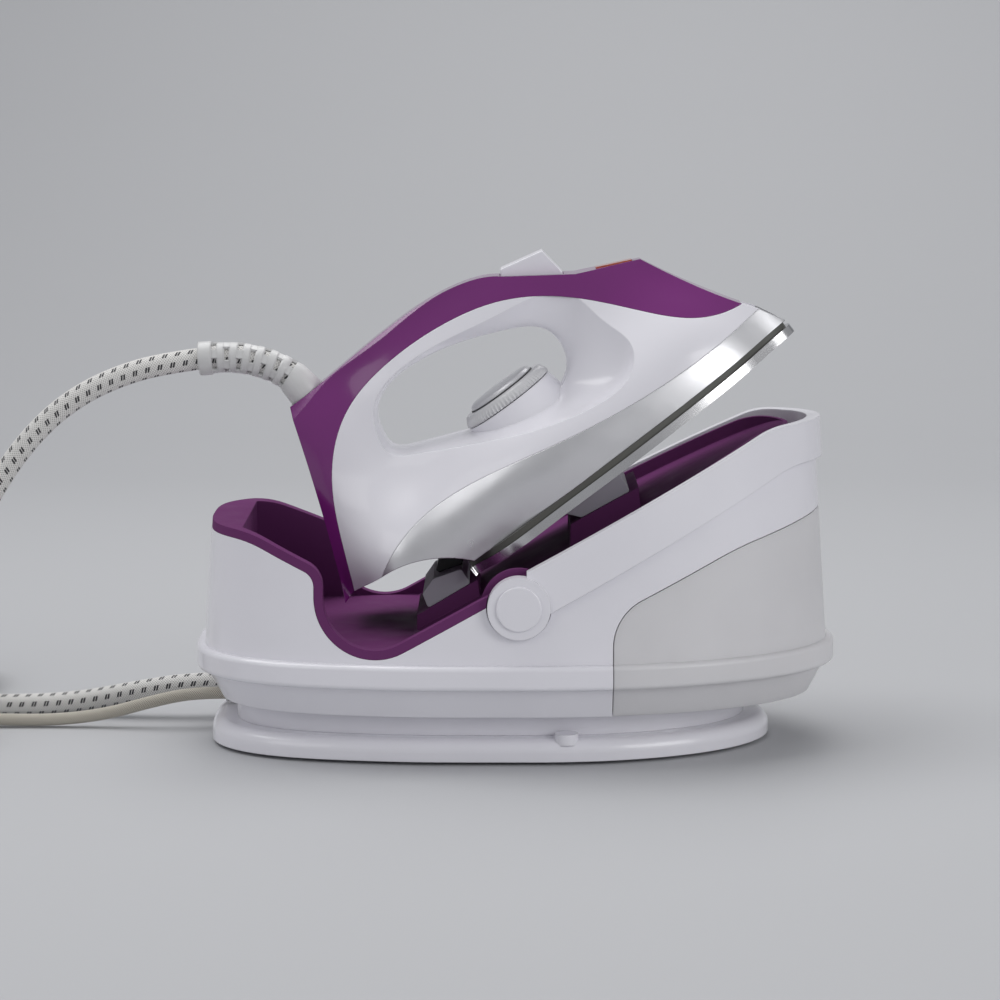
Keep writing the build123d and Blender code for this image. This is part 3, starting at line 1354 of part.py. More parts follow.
coil_tube("hose_coil", hose_turns, HOSE_RADIUS)
coil_tube("lead_coil", lead_turns, LEAD_RADIUS)
coil_tie("hose_tie", HOSE_COIL_CENTRE, HOSE_COIL_INNER, HOSE_COIL_INNER + hose_step * HOSE_COIL_TURNS[0],
         hose_low + hose_step, HOSE_RADIUS, 135.0)
coil_tie("lead_tie", LEAD_COIL_CENTRE, LEAD_COIL_INNER, LEAD_COIL_INNER + lead_step * LEAD_COIL_TURNS[0],
         lead_low + lead_step, LEAD_RADIUS, 315.0)

boot_heading = Vector(cos(radians(BOOT_END_HEADING)), 0, sin(radians(BOOT_END_HEADING)))
boot_mouth = Vector(BOOT_END[0], 0, BOOT_END[1])
cord_tube("hose_lower", [
    (gland_end, HOSE_GLAND_Y, GLAND_Z), (gland_end - HOSE_FIRST_RUN, HOSE_GLAND_Y, GLAND_Z),
    (-221.0, 40.8, 15.6), (-256.0, 42.0, 8.6), (-292.0, 43.3, 6.5), (-328.0, 44.5, 6.9),
    hose_in - hose_in_heading * HOSE_END_RUN, hose_in], HOSE_RADIUS)
cord_tube("hose_upper", [
    boot_mouth, boot_mouth + boot_heading * HOSE_FIRST_RUN, (-224.9, 0.3, 205.5), (-246.6, 0.8, 195.5),
    (-267.2, 1.2, 180.2), (-286.6, 1.5, 158.1), (-303.4, 2.5, 131.6), (-316.3, 7.0, 101.8),
    (-322.2, 16.2, 76.4), (-324.9, 32.0, 56.0), (-326.0, 52.2, 39.6), (-326.4, 75.6, 28.2),
    hose_out + hose_out_heading * HOSE_FIRST_RUN, hose_out], HOSE_RADIUS)
cord_tube("mains_lead", [
    (gland_end, LEAD_GLAND_Y, GLAND_Z), (gland_end - LEAD_FIRST_RUN, LEAD_GLAND_Y, GLAND_Z),
    (-210.0, 10.4, 15.5), (-236.0, 11.0, 8.0), (-264.0, 11.5, 4.2), (-296.0, 11.3, 4.2),
    lead_in - lead_in_heading * LEAD_END_RUN, lead_in], LEAD_RADIUS)
plug_root = (-424.0, 10.4, PLUG_HEIGHT / 2)
plug_before = (-408.0, 11.0, PLUG_HEIGHT / 2)
cord_tube("lead_tail", [
    lead_out, lead_out + lead_out_heading * LEAD_FIRST_RUN, (-392.0, 11.2, 12.6), plug_before, plug_root],
    LEAD_RADIUS)

# Mains plug, lying at the end of the lead
plug_heading = (Vector(*plug_root) - Vector(*plug_before)).normalized()
plug_plane = Plane(origin=plug_root, x_dir=(plug_heading.Y, -plug_heading.X, 0), z_dir=plug_heading)
with BuildPart() as mains_plug:
    with BuildSketch(plug_plane):
        Circle(LEAD_RADIUS + 1.2)
    with BuildSketch(plug_plane.offset(PLUG_NECK)):
        Circle(PLUG_HEIGHT / 2 - 1.5)
    loft()
    with BuildSketch(plug_plane.offset(PLUG_NECK)):
        RectangleRounded(PLUG_WIDTH, PLUG_HEIGHT, PLUG_HEIGHT / 3)
    extrude(amount=PLUG_LENGTH)
finish(mains_plug, "mains_plug")

with BuildPart() as plug_pins:
    with BuildSketch(plug_plane.offset(PLUG_NECK + PLUG_LENGTH)):
        with GridLocations(PLUG_PIN_APART, 0, 2, 1):
            Circle(PLUG_PIN_RADIUS)
    extrude(amount=PLUG_PIN_LENGTH)
finish(plug_pins, "plug_pins")
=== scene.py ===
"""Steam-generator iron parked on its station: finishes, braided cords, ribbed boot and dial."""
from math import cos, pi, radians, sin

import bmesh
import bpy
from mathutils import Matrix, Vector


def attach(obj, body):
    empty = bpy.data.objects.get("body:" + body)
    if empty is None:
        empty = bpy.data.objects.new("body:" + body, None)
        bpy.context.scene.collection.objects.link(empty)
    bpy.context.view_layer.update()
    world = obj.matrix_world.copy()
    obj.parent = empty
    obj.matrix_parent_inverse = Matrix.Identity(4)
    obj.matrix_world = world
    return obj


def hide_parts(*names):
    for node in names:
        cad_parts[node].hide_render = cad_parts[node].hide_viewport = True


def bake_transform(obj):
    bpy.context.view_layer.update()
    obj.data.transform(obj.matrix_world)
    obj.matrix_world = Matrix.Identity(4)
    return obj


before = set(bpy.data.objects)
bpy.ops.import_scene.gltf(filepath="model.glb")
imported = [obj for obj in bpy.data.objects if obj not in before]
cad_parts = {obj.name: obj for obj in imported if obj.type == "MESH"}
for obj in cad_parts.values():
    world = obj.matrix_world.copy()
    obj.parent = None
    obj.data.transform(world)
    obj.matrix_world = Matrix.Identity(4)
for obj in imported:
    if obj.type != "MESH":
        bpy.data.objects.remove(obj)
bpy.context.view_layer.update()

MM = 0.001

# Camera: eye and look-down angle fitted to the photograph, 1000 x 1000
EYE = Vector((-9.4, -1782.5, 384.9)) * MM
LOOK_DOWN = 8.0
LENS = 113.66

# Iron: tilt and the rear lower edge of its sole, from which its own (u, w) places are measured
IRON_TILT = radians(36.7)
SOLE_REAR = Vector((-22.6, 0.0, 97.6)) * MM

# Steam hose
HOSE_RADIUS = 6.2 * MM
HOSE_COIL_CENTRE = (-401.0, 124.0)
HOSE_COIL_INNER = 59.0
HOSE_COIL_STEP = 14.86
HOSE_COIL_LOW = 8.2
HOSE_COIL_TURNS = (1.25, 1.0)

# Mains lead
LEAD_RADIUS = 3.6 * MM
LEAD_COIL_CENTRE = (-356.0, -42.0)
LEAD_COIL_INNER = 28.0
LEAD_COIL_STEP = 8.88
LEAD_COIL_LOW = 5.6
LEAD_COIL_TURNS = (2.75, 2.75)

COIL_POINTS = 24

# Braid of the hose: rows of paired black flecks round it and their pitch along it; slant, spacing and
# widths are shares of that pitch and of a row
FLECK_ROWS = 6
FLECK_PITCH = 7.3 * MM
FLECK_SLANT = 0.35
FLECK_APART = 0.105
FLECK_THICK = 0.075
FLECK_REACH = 0.23

# Boot on the handle's rear end: its line, its ribs along that line and the bridges between the ribs
BOOT_LINE = ((-118.6, 195.3), (-124.0, 202.6), (-134.0, 209.6), (-148.0, 214.6), (-164.0, 216.6),
             (-180.0, 215.2))
BOOT_SIDES = 40
BOOT_COLLAR = 15.0
BOOT_RIBS = 6
BOOT_RIB = 4.6
BOOT_SLOT = 2.5
BOOT_CORE = 6.9
BOOT_BORE = 6.0
BOOT_RADIUS = 9.0
BOOT_THINNING = 0.08
BOOT_ROOT_RADIUS = 10.6
BOOT_END_RADIUS = 9.6
BRIDGES = 4
BRIDGE_THICK = 1.6
BRIDGE_WIDTH = 5.0
BRIDGE_OVERLAP = 1.2
BRIDGE_REACH = 7.6
BRIDGE_TURN = 0.35

# Dial on the iron
DIAL_U = 71.0
DIAL_BASE = 65.0
DIAL_RADIUS = 28.0
DIAL_RIBS = 72
DIAL_RIB_RIM = 2.5
DIAL_RIB_SHARE = 0.965

# Profiles of the dial's pieces: radius and height above the dial's base
DIAL_RING = ((0.0, 0.0), (27.4, 0.0), (28.0, 0.6), (27.7, 2.2), (25.8, 5.4), (24.4, 6.2), (21.4, 6.4),
             (0.0, 6.4))
# Black disc in the gap between ring and cap: painted shadow, not a real part
DIAL_SHADOW_DISC = ((0.0, 6.1), (20.9, 6.1), (21.1, 6.3), (21.1, 6.8), (20.7, 7.0), (0.0, 7.0))
DIAL_CAP = ((0.0, 6.9), (20.2, 6.9), (20.5, 7.2), (19.6, 9.0), (18.0, 9.7), (10.0, 10.0), (0.0, 10.1))

# Nose line of the iron in (u, w), and the plates let into it
NOSE_TOP = (209.0, 31.0)
NOSE_MIDDLE = (215.0, 23.0)
NOSE_TIP = (221.0, 11.8)
NOSE_DEPTH = 0.5
NOSE_SEAT = 1.0
NOSE_THICK = 1.2
NOSE_STEPS = 8

# Faces that meet at more than this angle are shaded with a sharp edge between them
SHARP = radians(40)

# Studio, in metres: half its width, its front and rear ends, its height and the bend up to the backdrop
STUDIO_HALF = 3.0
STUDIO_FRONT = -3.0
STUDIO_REAR = 2.0
STUDIO_HIGH = 3.0
STUDIO_BEND = 0.9


def finish_start(name, colour, roughness, **sockets):
    """New material with its shader's own colour, roughness and other fixed values set."""
    material = bpy.data.materials.new(name)
    material.use_nodes = True
    shader = material.node_tree.nodes["Principled BSDF"]
    shader.inputs["Base Color"].default_value = (*colour, 1.0)
    shader.inputs["Roughness"].default_value = roughness
    for socket, value in sockets.items():
        shader.inputs[socket.replace("_", " ").title().replace("Ior", "IOR")].default_value = value
    return material, material.node_tree, shader


def add_node(tree, kind, settings=None, **inputs):
    """Node of a kind with its settings and its unlinked inputs."""
    node = tree.nodes.new(kind)
    for setting, value in (settings or {}).items():
        setattr(node, setting, value)
    for socket, value in inputs.items():
        node.inputs[socket.replace("_", " ")].default_value = value
    return node


def surface_place(tree):
    """Object coordinates of the piece."""
    return add_node(tree, "ShaderNodeTexCoord").outputs["Object"]


def cloudy(tree, shader, socket, low, high, scale, detail=3.0):
    """Slow variation between two values on a shader's socket; colours or plain numbers."""
    noise = add_node(tree, "ShaderNodeTexNoise", Scale=scale, Detail=detail)
    tree.links.new(surface_place(tree), noise.inputs["Vector"])
    ramp = add_node(tree, "ShaderNodeValToRGB")
    ramp.color_ramp.elements[0].position = 0.3
    ramp.color_ramp.elements[1].position = 0.7
    for element, value in zip(ramp.color_ramp.elements, (low, high)):
        element.color = (*value, 1.0) if hasattr(value, "__len__") else (value, value, value, 1.0)
    tree.links.new(noise.outputs["Fac"], ramp.inputs["Fac"])
    tree.links.new(ramp.outputs["Color"], shader.inputs[socket])


def surface_grain(tree, shader, scale, height, edge):
    """Fine moulded grain, with the piece's sharp edges softened by a radius."""
    rounded = add_node(tree, "ShaderNodeBevel", {"samples": 6}, Radius=edge)
    noise = add_node(tree, "ShaderNodeTexNoise", Scale=scale, Detail=2.0)
    bump = add_node(tree, "ShaderNodeBump", Strength=1.0, Distance=height)
    tree.links.new(surface_place(tree), noise.inputs["Vector"])
    tree.links.new(noise.outputs["Fac"], bump.inputs["Height"])
    tree.links.new(rounded.outputs["Normal"], bump.inputs["Normal"])
    tree.links.new(bump.outputs["Normal"], shader.inputs["Normal"])


def moulded(name, colour, roughness, grain=700.0, height=0.00001, edge=0.9 * MM, shade=0.93, **sockets):
    """Moulded plastic or painted piece: slight colour and gloss variation, fine grain, soft edges."""
    material, tree, shader = finish_start(name, colour, roughness, **sockets)
    cloudy(tree, shader, "Base Color", tuple(part * shade for part in colour), colour, 14.0)
    cloudy(tree, shader, "Roughness", roughness * 0.85, roughness * 1.15, 60.0)
    surface_grain(tree, shader, grain, height, edge)
    return material


def painted_seam_shade(material, seam_shade, width):
    """Painted shade: darkens a moulded piece along its sharp edges, within a width, where it meets the next
    piece, as the shade in the gap between them.
    """
    tree = material.node_tree
    shader = tree.nodes["Principled BSDF"]
    plain = shader.inputs["Base Color"].links[0].from_socket
    rounded = add_node(tree, "ShaderNodeBevel", {"samples": 8}, Radius=width)
    facing = add_node(tree, "ShaderNodeNewGeometry")
    match = add_node(tree, "ShaderNodeVectorMath", {"operation": "DOT_PRODUCT"})
    tree.links.new(rounded.outputs["Normal"], match.inputs[0])
    tree.links.new(facing.outputs["Normal"], match.inputs[1])
    ramp = add_node(tree, "ShaderNodeValToRGB")
    ramp.color_ramp.elements[0].position = 0.86
    ramp.color_ramp.elements[0].color = (*seam_shade, 1.0)
    ramp.color_ramp.elements[1].position = 0.97
    tree.links.new(match.outputs["Value"], ramp.inputs["Fac"])
    shaded = add_node(tree, "ShaderNodeVectorMath", {"operation": "MULTIPLY"})
    tree.links.new(plain, shaded.inputs[0])
    tree.links.new(ramp.outputs["Color"], shaded.inputs[1])
    tree.links.new(shaded.outputs["Vector"], shader.inputs["Base Color"])


def brushed(name, colour, roughness, stretch):
    """Bare metal with fine lines drawn along one direction."""
    material, tree, shader = finish_start(name, colour, roughness, metallic=1.0)
    mapping = add_node(tree, "ShaderNodeMapping", Scale=stretch)
    noise = add_node(tree, "ShaderNodeTexNoise", Scale=1.0, Detail=4.0)
    bump = add_node(tree, "ShaderNodeBump", Strength=0.5, Distance=0.00002)
    tree.links.new(surface_place(tree), mapping.inputs["Vector"])
    tree.links.new(mapping.outputs["Vector"], noise.inputs["Vector"])
    tree.links.new(noise.outputs["Fac"], bump.inputs["Height"])
    tree.links.new(bump.outputs["Normal"], shader.inputs["Normal"])
    cloudy(tree, shader, "Roughness", roughness * 0.8, roughness * 1.25, 40.0)
    return material


def number(tree, operation, first, second=0.0):
    """Math node on two sockets or numbers."""
    node = add_node(tree, "ShaderNodeMath", {"operation": operation})
    for socket, value in zip(node.inputs, (first, second)):
        if isinstance(value, (int, float)):
            socket.default_value = value
        else:
            tree.links.new(value, socket)
    return node.outputs["Value"]


def braid_place(tree):
    """Along (metres) and around (0 to 1) of a cord, from its own map."""
    split = add_node(tree, "ShaderNodeSeparateXYZ")
    tree.links.new(add_node(tree, "ShaderNodeTexCoord").outputs["UV"], split.inputs["Vector"])
    return split.outputs["X"], split.outputs["Y"]


def weave_height(tree, along, around, pitch, count):
    """Height of two crossing sets of threads that wind both ways round a cord."""
    turns = number(tree, "MULTIPLY", around, count)
    steps = number(tree, "DIVIDE", along, pitch)
    heights = []
    for way in (number(tree, "ADD", turns, steps), number(tree, "SUBTRACT", turns, steps)):
        heights.append(number(tree, "PINGPONG", way, 0.5))
    return number(tree, "MAXIMUM", *heights)


def braid(name, thread, shadow, pitch, count, fleck=None):
    """Textile braid; fleck is the colour of paired slanted threads set in staggered rows."""
    material, tree, shader = finish_start(name, thread, 0.8, sheen_weight=0.25)
    along, around = braid_place(tree)
    height = weave_height(tree, along, around, pitch, count)
    ramp = add_node(tree, "ShaderNodeValToRGB")
    ramp.color_ramp.elements[0].position = 0.22
    ramp.color_ramp.elements[0].color = (*shadow, 1.0)
    ramp.color_ramp.elements[1].position = 0.42
    ramp.color_ramp.elements[1].color = (*thread, 1.0)
    tree.links.new(height, ramp.inputs["Fac"])
    colour = ramp.outputs["Color"]
    if fleck:
        rows = number(tree, "MULTIPLY", around, FLECK_ROWS)
        stagger = number(tree, "MULTIPLY", number(tree, "MODULO", number(tree, "FLOOR", rows), 2.0), 0.5)
        step = number(tree, "ADD", number(tree, "DIVIDE", along, FLECK_PITCH), stagger)
        across = number(tree, "SUBTRACT", number(tree, "FRACT", rows), 0.5)
        ahead = number(tree, "SUBTRACT", number(tree, "FRACT", step), 0.5)
        slant = number(tree, "ADD", ahead, number(tree, "MULTIPLY", across, FLECK_SLANT))
        apart = number(tree, "SUBTRACT", number(tree, "ABSOLUTE", slant), FLECK_APART)
        inside = number(tree, "MULTIPLY",
                        number(tree, "LESS_THAN", number(tree, "ABSOLUTE", apart), FLECK_THICK),
                        number(tree, "LESS_THAN", number(tree, "ABSOLUTE", across), FLECK_REACH))
        mix = add_node(tree, "ShaderNodeMix", {"data_type": "RGBA"})
        colours = [socket for socket in mix.inputs if socket.type == "RGBA"]
        colours[1].default_value = (*fleck, 1.0)
        tree.links.new(inside, mix.inputs["Factor"])
        tree.links.new(colour, colours[0])
        colour = [socket for socket in mix.outputs if socket.type == "RGBA"][0]
    tree.links.new(colour, shader.inputs["Base Color"])
    bump = add_node(tree, "ShaderNodeBump", Strength=0.8, Distance=0.0005)
    tree.links.new(height, bump.inputs["Height"])
    tree.links.new(bump.outputs["Normal"], shader.inputs["Normal"])
    return material


white_plastic = moulded("white_plastic", (0.80, 0.79, 0.84), 0.22, coat_weight=0.25, shade=0.97)
purple_cover = moulded("purple_cover", (0.17, 0.014, 0.165), 0.2, coat_weight=0.6, coat_roughness=0.08)
purple_tray = moulded("purple_tray", (0.145, 0.04, 0.135), 0.6, grain=1500.0, height=0.00003,
                      specular_ior_level=0.02)
silver_skirt = moulded("silver_skirt", (0.74, 0.74, 0.76), 0.32, grain=2600.0, metallic=0.75)
milky_tank = moulded("milky_tank", (0.90, 0.89, 0.91), 0.34, grain=900.0, transmission_weight=0.3, ior=1.46)
silicone_pad = moulded("silicone_pad", (0.44, 0.44, 0.48), 0.55, grain=1200.0, height=0.00003)
black_rubber_and_shadow = moulded("black_rubber_and_shadow", (0.02, 0.02, 0.022), 0.5, grain=1200.0, height=0.00003)
olive_shield = moulded("olive_shield", (0.09, 0.09, 0.08), 0.5)
inner_black = moulded("inner_black", (0.03, 0.03, 0.03), 0.5)
board_green = moulded("board_green", (0.02, 0.09, 0.04), 0.45)
silicone_tube = moulded("silicone_tube", (0.72, 0.70, 0.64), 0.5, transmission_weight=0.2)
boot_plastic = moulded("boot_plastic", (0.80, 0.80, 0.80), 0.38, grain=500.0, transmission_weight=0.25)
dial_clear = moulded("dial_clear", (0.84, 0.84, 0.86), 0.18, transmission_weight=0.25)
dial_grey = moulded("dial_grey", (0.60, 0.60, 0.62), 0.3, metallic=0.2)
orange_lens = moulded("orange_lens", (0.75, 0.13, 0.03), 0.15, transmission_weight=0.4, coat_weight=0.5)
plug_plastic = moulded("plug_plastic", (0.52, 0.51, 0.49), 0.45, grain=1200.0, height=0.00003)
sole_steel = brushed("sole_steel", (0.66, 0.66, 0.67), 0.2, (40.0, 900.0, 40.0))
plain_steel = brushed("plain_steel", (0.60, 0.60, 0.61), 0.3, (300.0, 300.0, 60.0))
cast_alloy = brushed("cast_alloy", (0.55, 0.55, 0.54), 0.5, (400.0, 400.0, 400.0))
brass = brushed("brass", (0.62, 0.44, 0.17), 0.3, (200.0, 200.0, 200.0))
hose_braid = braid("hose_braid", (0.80, 0.79, 0.77), (0.46, 0.45, 0.43), 1.5 * MM, 20, (0.03, 0.03, 0.035))
lead_braid = braid("lead_braid", (0.62, 0.58, 0.50), (0.24, 0.22, 0.18), 1.1 * MM, 14)

# painted shade along the skirt's sharp edges and its seams with the next pieces
painted_seam_shade(silver_skirt, (0.10, 0.10, 0.11), 0.5 * MM)

FINISHES = {
    white_plastic: ("foot_plate", "neck_ring", "base_body", "carry_hoop", "hoop_caps", "iron_body",
                    "steam_trigger"),
    purple_cover: ("top_cover",),
    purple_tray: ("iron_tray",),
    silver_skirt: ("skirt",),
    milky_tank: ("water_tank",),
    silicone_pad: ("front_rest_pad", "rear_rest_pad"),
    black_rubber_and_shadow: ("heel_stop", "rubber_feet", "tank_plug", "hose_tie", "lead_tie"),
    olive_shield: ("heat_shield",),
    inner_black: ("tank_valve", "boiler_bracket", "boiler_thermostat", "water_pump", "tank_socket",
                  "terminal_block", "steam_switch", "iron_thermostat", "iron_terminal"),
    board_green: ("control_board",),
    silicone_tube: ("feed_hose", "intake_hose"),
    boot_plastic: ("hose_gland", "mains_gland", "thermal_fuse"),
    orange_lens: ("lamp_lens",),
    plug_plastic: ("mains_plug",),
    sole_steel: ("soleplate",),
    plain_steel: ("base_screws", "hoop_pins", "boiler", "dial_spindle", "casting_screws", "plug_pins"),
    cast_alloy: ("boiler_heater", "heater_casting"),
    brass: ("steam_valve", "steam_nipple"),
}
for finish, nodes in FINISHES.items():
    for node in nodes:
        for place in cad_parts[node].material_slots:
            place.material = finish


def iron_place(u, w, y=0.0):
    """Place in the frame of a point given along and square to the iron's sole, in millimetres."""
    along = Vector((cos(IRON_TILT), 0, sin(IRON_TILT)))
    up = Vector((-sin(IRON_TILT), 0, cos(IRON_TILT)))
    return SOLE_REAR + (along * u + up * w + Vector((0, y, 0))) * MM


def shown(mesh, name, material):
    """Object for a finished mesh, with its finish."""
    piece = bpy.data.objects.new(name, mesh)
    bpy.context.scene.collection.objects.link(piece)
    mesh.materials.clear()
    mesh.materials.append(material)
    mesh.shade_smooth()
    return piece


# Cords

def coil_route(centre, inner, step, low, turns, start, way):
    """Points of a coil: in on the lower layer, half a turn up, and out on the upper layer."""
    first = int(turns[0] * COIL_POINTS)
    climb = COIL_POINTS // 2
    last = first + climb + int(turns[1] * COIL_POINTS)
    points = []
    for number_on in range(last + 1):
        lower_left = max(0, first - number_on)
        upper_done = max(0, number_on - first - climb)
        risen = min(1.0, max(0.0, (number_on - first) / climb))
        reach = inner + step * (lower_left + upper_done) / COIL_POINTS
        angle = radians(start) + way * 2 * pi * number_on / COIL_POINTS
        height = low + step * risen * risen * (3 - 2 * risen)
        points.append((centre[0] + reach * cos(angle), centre[1] + reach * sin(angle), height))
    return points


def smooth_line(name, route, radius=0.0):
    """Curve along a route of control points in millimetres."""
    curve = bpy.data.curves.new(name, "CURVE")
    curve.dimensions = "3D"
    curve.resolution_u = 6
    curve.bevel_depth = radius
    curve.bevel_resolution = 6
    curve.use_fill_caps = radius > 0
    spline = curve.splines.new("NURBS")
    spline.points.add(len(route) - 1)
    for point, place in zip(spline.points, route):
        point.co = (*(Vector(place) * MM), 1.0)
    spline.order_u = 3
    spline.use_endpoint_u = True
    line = bpy.data.objects.new(name, curve)
    bpy.context.scene.collection.objects.link(line)
    bpy.context.view_layer.update()
    return line


def line_mesh(line):
    """Mesh of a curve as it is shown; the curve itself is then removed."""
    shape = line.evaluated_get(bpy.context.evaluated_depsgraph_get())
    mesh = bpy.data.meshes.new_from_object(shape)
    bpy.data.objects.remove(line)
    return mesh


def lengths_along(places):
    """Distance of each place from the first one, along the line."""
    lengths = [0.0]
    for before, after in zip(places, places[1:]):
        lengths.append(lengths[-1] + (after - before).length)
    return lengths


def braided_cord(name, route, radius, material):
    """Tube along a route with a map of metres along and turns around; also returns its centre line."""
    wire = line_mesh(smooth_line(name + "_line", route))
    places = [vertex.co.copy() for vertex in wire.vertices]
    lengths = lengths_along(places)
    mesh = line_mesh(smooth_line(name, route, radius))
    for corner in mesh.uv_layers[0].data:
        station = round(corner.uv[0] * (len(places) - 1))
        corner.uv[0] = lengths[min(station, len(lengths) - 1)]
    return shown(mesh, name, material), places


hose_route = [
    (-180.0, 0.0, 215.2), (-202.8, 0.0, 212.0), (-224.9, 0.3, 205.5), (-246.6, 0.8, 195.5),
    (-267.2, 1.2, 180.2), (-286.6, 1.5, 158.1), (-303.4, 2.5, 131.6), (-316.3, 7.0, 101.8),
    (-322.2, 16.2, 76.4), (-324.9, 32.0, 56.0), (-326.0, 52.2, 39.6), (-326.4, 75.6, 28.2),
    (-326.4, 101.0, 23.06)]
hose_coil = coil_route(HOSE_COIL_CENTRE, HOSE_COIL_INNER, HOSE_COIL_STEP, HOSE_COIL_LOW, HOSE_COIL_TURNS,
                       270.0, -1)
hose_route += reversed(hose_coil)
hose_route += [
    (-368.0, 45.4, 8.2), (-328.0, 44.5, 6.9), (-292.0, 43.3, 6.5), (-256.0, 42.0, 8.6),
    (-221.0, 40.8, 15.6), (-190.5, 40.0, 20.5), (-167.5, 40.0, 20.5)]
steam_hose, hose_places = braided_cord("steam_hose", hose_route, HOSE_RADIUS, hose_braid)
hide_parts("hose_upper", "hose_coil", "hose_lower")
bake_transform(steam_hose)

lead_route = [
    (-167.5, 10.0, 20.5), (-186.5, 10.0, 20.5), (-210.0, 10.4, 15.5), (-236.0, 11.0, 8.0),
    (-264.0, 11.5, 4.2), (-296.0, 11.3, 4.2), (-328.0, 10.9, 5.6)]
lead_route += coil_route(LEAD_COIL_CENTRE, LEAD_COIL_INNER, LEAD_COIL_STEP, LEAD_COIL_LOW, LEAD_COIL_TURNS,
                         90.0, 1)
lead_route += [(-375.0, 10.9, 14.48), (-392.0, 11.2, 12.6), (-408.0, 11.0, 10.0), (-424.0, 10.4, 10.0)]
mains_lead, lead_places = braided_cord("mains_lead_braid", lead_route, LEAD_RADIUS, lead_braid)
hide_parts("mains_lead", "lead_coil", "lead_tail")
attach(mains_lead, "station")


# Boot of the hose

def frames_along(route):
    """Frame of a bent line at any distance along it, in millimetres, as a function."""
    wire = line_mesh(smooth_line("boot_line", route))
    places = [vertex.co.copy() for vertex in wire.vertices]
    lengths = lengths_along(places)

    def frame_at(distance):
        metres = distance * MM
        station = max(1, sum(1 for length in lengths[:-1] if length < metres))
        before, after = places[station - 1], places[station]
        heading = (after - before).normalized()
        place = before + heading * (metres - lengths[station - 1])
        side = Vector((0, 1, 0))
        return Matrix((side, heading.cross(side), heading)).transposed().to_4x4(), place

    return frame_at, lengths[-1] / MM


def sleeve(bm, frame_at, profile, sides):
    """Ring drawn along a bent line through (distance, radius) steps; a closed profile closes it."""
    ring = bmesh.ops.create_circle(bm, segments=sides, radius=1.0)["verts"]
    edges = list({edge for vertex in ring for edge in vertex.link_edges})
    placed = Matrix.Identity(4)
    first = True
    for distance, radius in profile:
        turn, place = frame_at(distance)
        wanted = Matrix.Translation(place) @ turn @ Matrix.Scale(radius * MM, 4)
        if not first:
            grown = bmesh.ops.extrude_edge_only(bm, edges=edges)["geom"]
            ring = [part for part in grown if isinstance(part, bmesh.types.BMVert)]
            fresh = set(ring)
            edges = [part for part in grown
                     if isinstance(part, bmesh.types.BMEdge) and set(part.verts) <= fresh]
        bmesh.ops.transform(bm, matrix=wanted @ placed.inverted(), verts=ring)
        placed = wanted
        first = False


def mesh_from(bm, name):
    """Mesh of a finished bmesh with its doubles merged and its faces turned outwards."""
    bmesh.ops.remove_doubles(bm, verts=bm.verts, dist=0.00001)
    bmesh.ops.recalc_face_normals(bm, faces=bm.faces)
    mesh = bpy.data.meshes.new(name)
    bm.to_mesh(mesh)
    bm.free()
    return mesh


def rib_profile(start, width, radius, core, soft=0.7):
    """Closed section of one rib of the boot."""
    end = start + width
    return ((start, core), (start, radius - soft), (start + soft, radius), (end - soft, radius),
            (end, radius - soft), (end, core), (start, core))


boot_route = [(x, 0.0, z) for x, z in BOOT_LINE]
boot_frame, boot_length = frames_along(boot_route)
bm = bmesh.new()
sleeve(bm, boot_frame, ((0.0, BOOT_BORE), (0.0, BOOT_ROOT_RADIUS - 0.2), (1.0, BOOT_ROOT_RADIUS),
                        (BOOT_COLLAR - 3.0, BOOT_RADIUS + 0.7), (BOOT_COLLAR, BOOT_RADIUS),
                        (BOOT_COLLAR, BOOT_BORE), (0.0, BOOT_BORE)), BOOT_SIDES)
for rib in range(BOOT_RIBS):
    start = BOOT_COLLAR + BOOT_SLOT + rib * (BOOT_RIB + BOOT_SLOT)
    rib_radius = BOOT_RADIUS - BOOT_THINNING * rib
    sleeve(bm, boot_frame, rib_profile(start, BOOT_RIB, rib_radius, BOOT_BORE), BOOT_SIDES)
for slot_number in range(BOOT_RIBS + 1):
    turn, place = boot_frame(BOOT_COLLAR + BOOT_SLOT / 2 + slot_number * (BOOT_RIB + BOOT_SLOT))
    for bridge in range(BRIDGES):
        angle = (bridge + 0.5 * (slot_number % 2)) * 2 * pi / BRIDGES + BRIDGE_TURN
        block = bmesh.ops.create_cube(bm, size=1.0)["verts"]
        size = Vector((BRIDGE_THICK, BRIDGE_WIDTH, BOOT_SLOT + BRIDGE_OVERLAP)) * MM
        bmesh.ops.scale(bm, vec=size, verts=block)
        bmesh.ops.translate(bm, vec=Vector((BRIDGE_REACH, 0, 0)) * MM, verts=block)
        around = Matrix.Translation(place) @ turn @ Matrix.Rotation(angle, 4, "Z")
        bmesh.ops.transform(bm, matrix=around, verts=block)
collar_start = BOOT_COLLAR + BOOT_SLOT + BOOT_RIBS * (BOOT_RIB + BOOT_SLOT)
sleeve(bm, boot_frame, rib_profile(collar_start, boot_length - collar_start, BOOT_END_RADIUS, BOOT_BORE),
       BOOT_SIDES)
boot_ribs = shown(mesh_from(bm, "boot_ribs"), "boot_ribs", boot_plastic)
boot_ribs.data.set_sharp_from_angle(angle=SHARP)
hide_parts("hose_boot")
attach(boot_ribs, "iron")

boot_core, _ = braided_cord("boot_core", boot_route, BOOT_CORE * MM, hose_braid)
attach(boot_core, "iron")
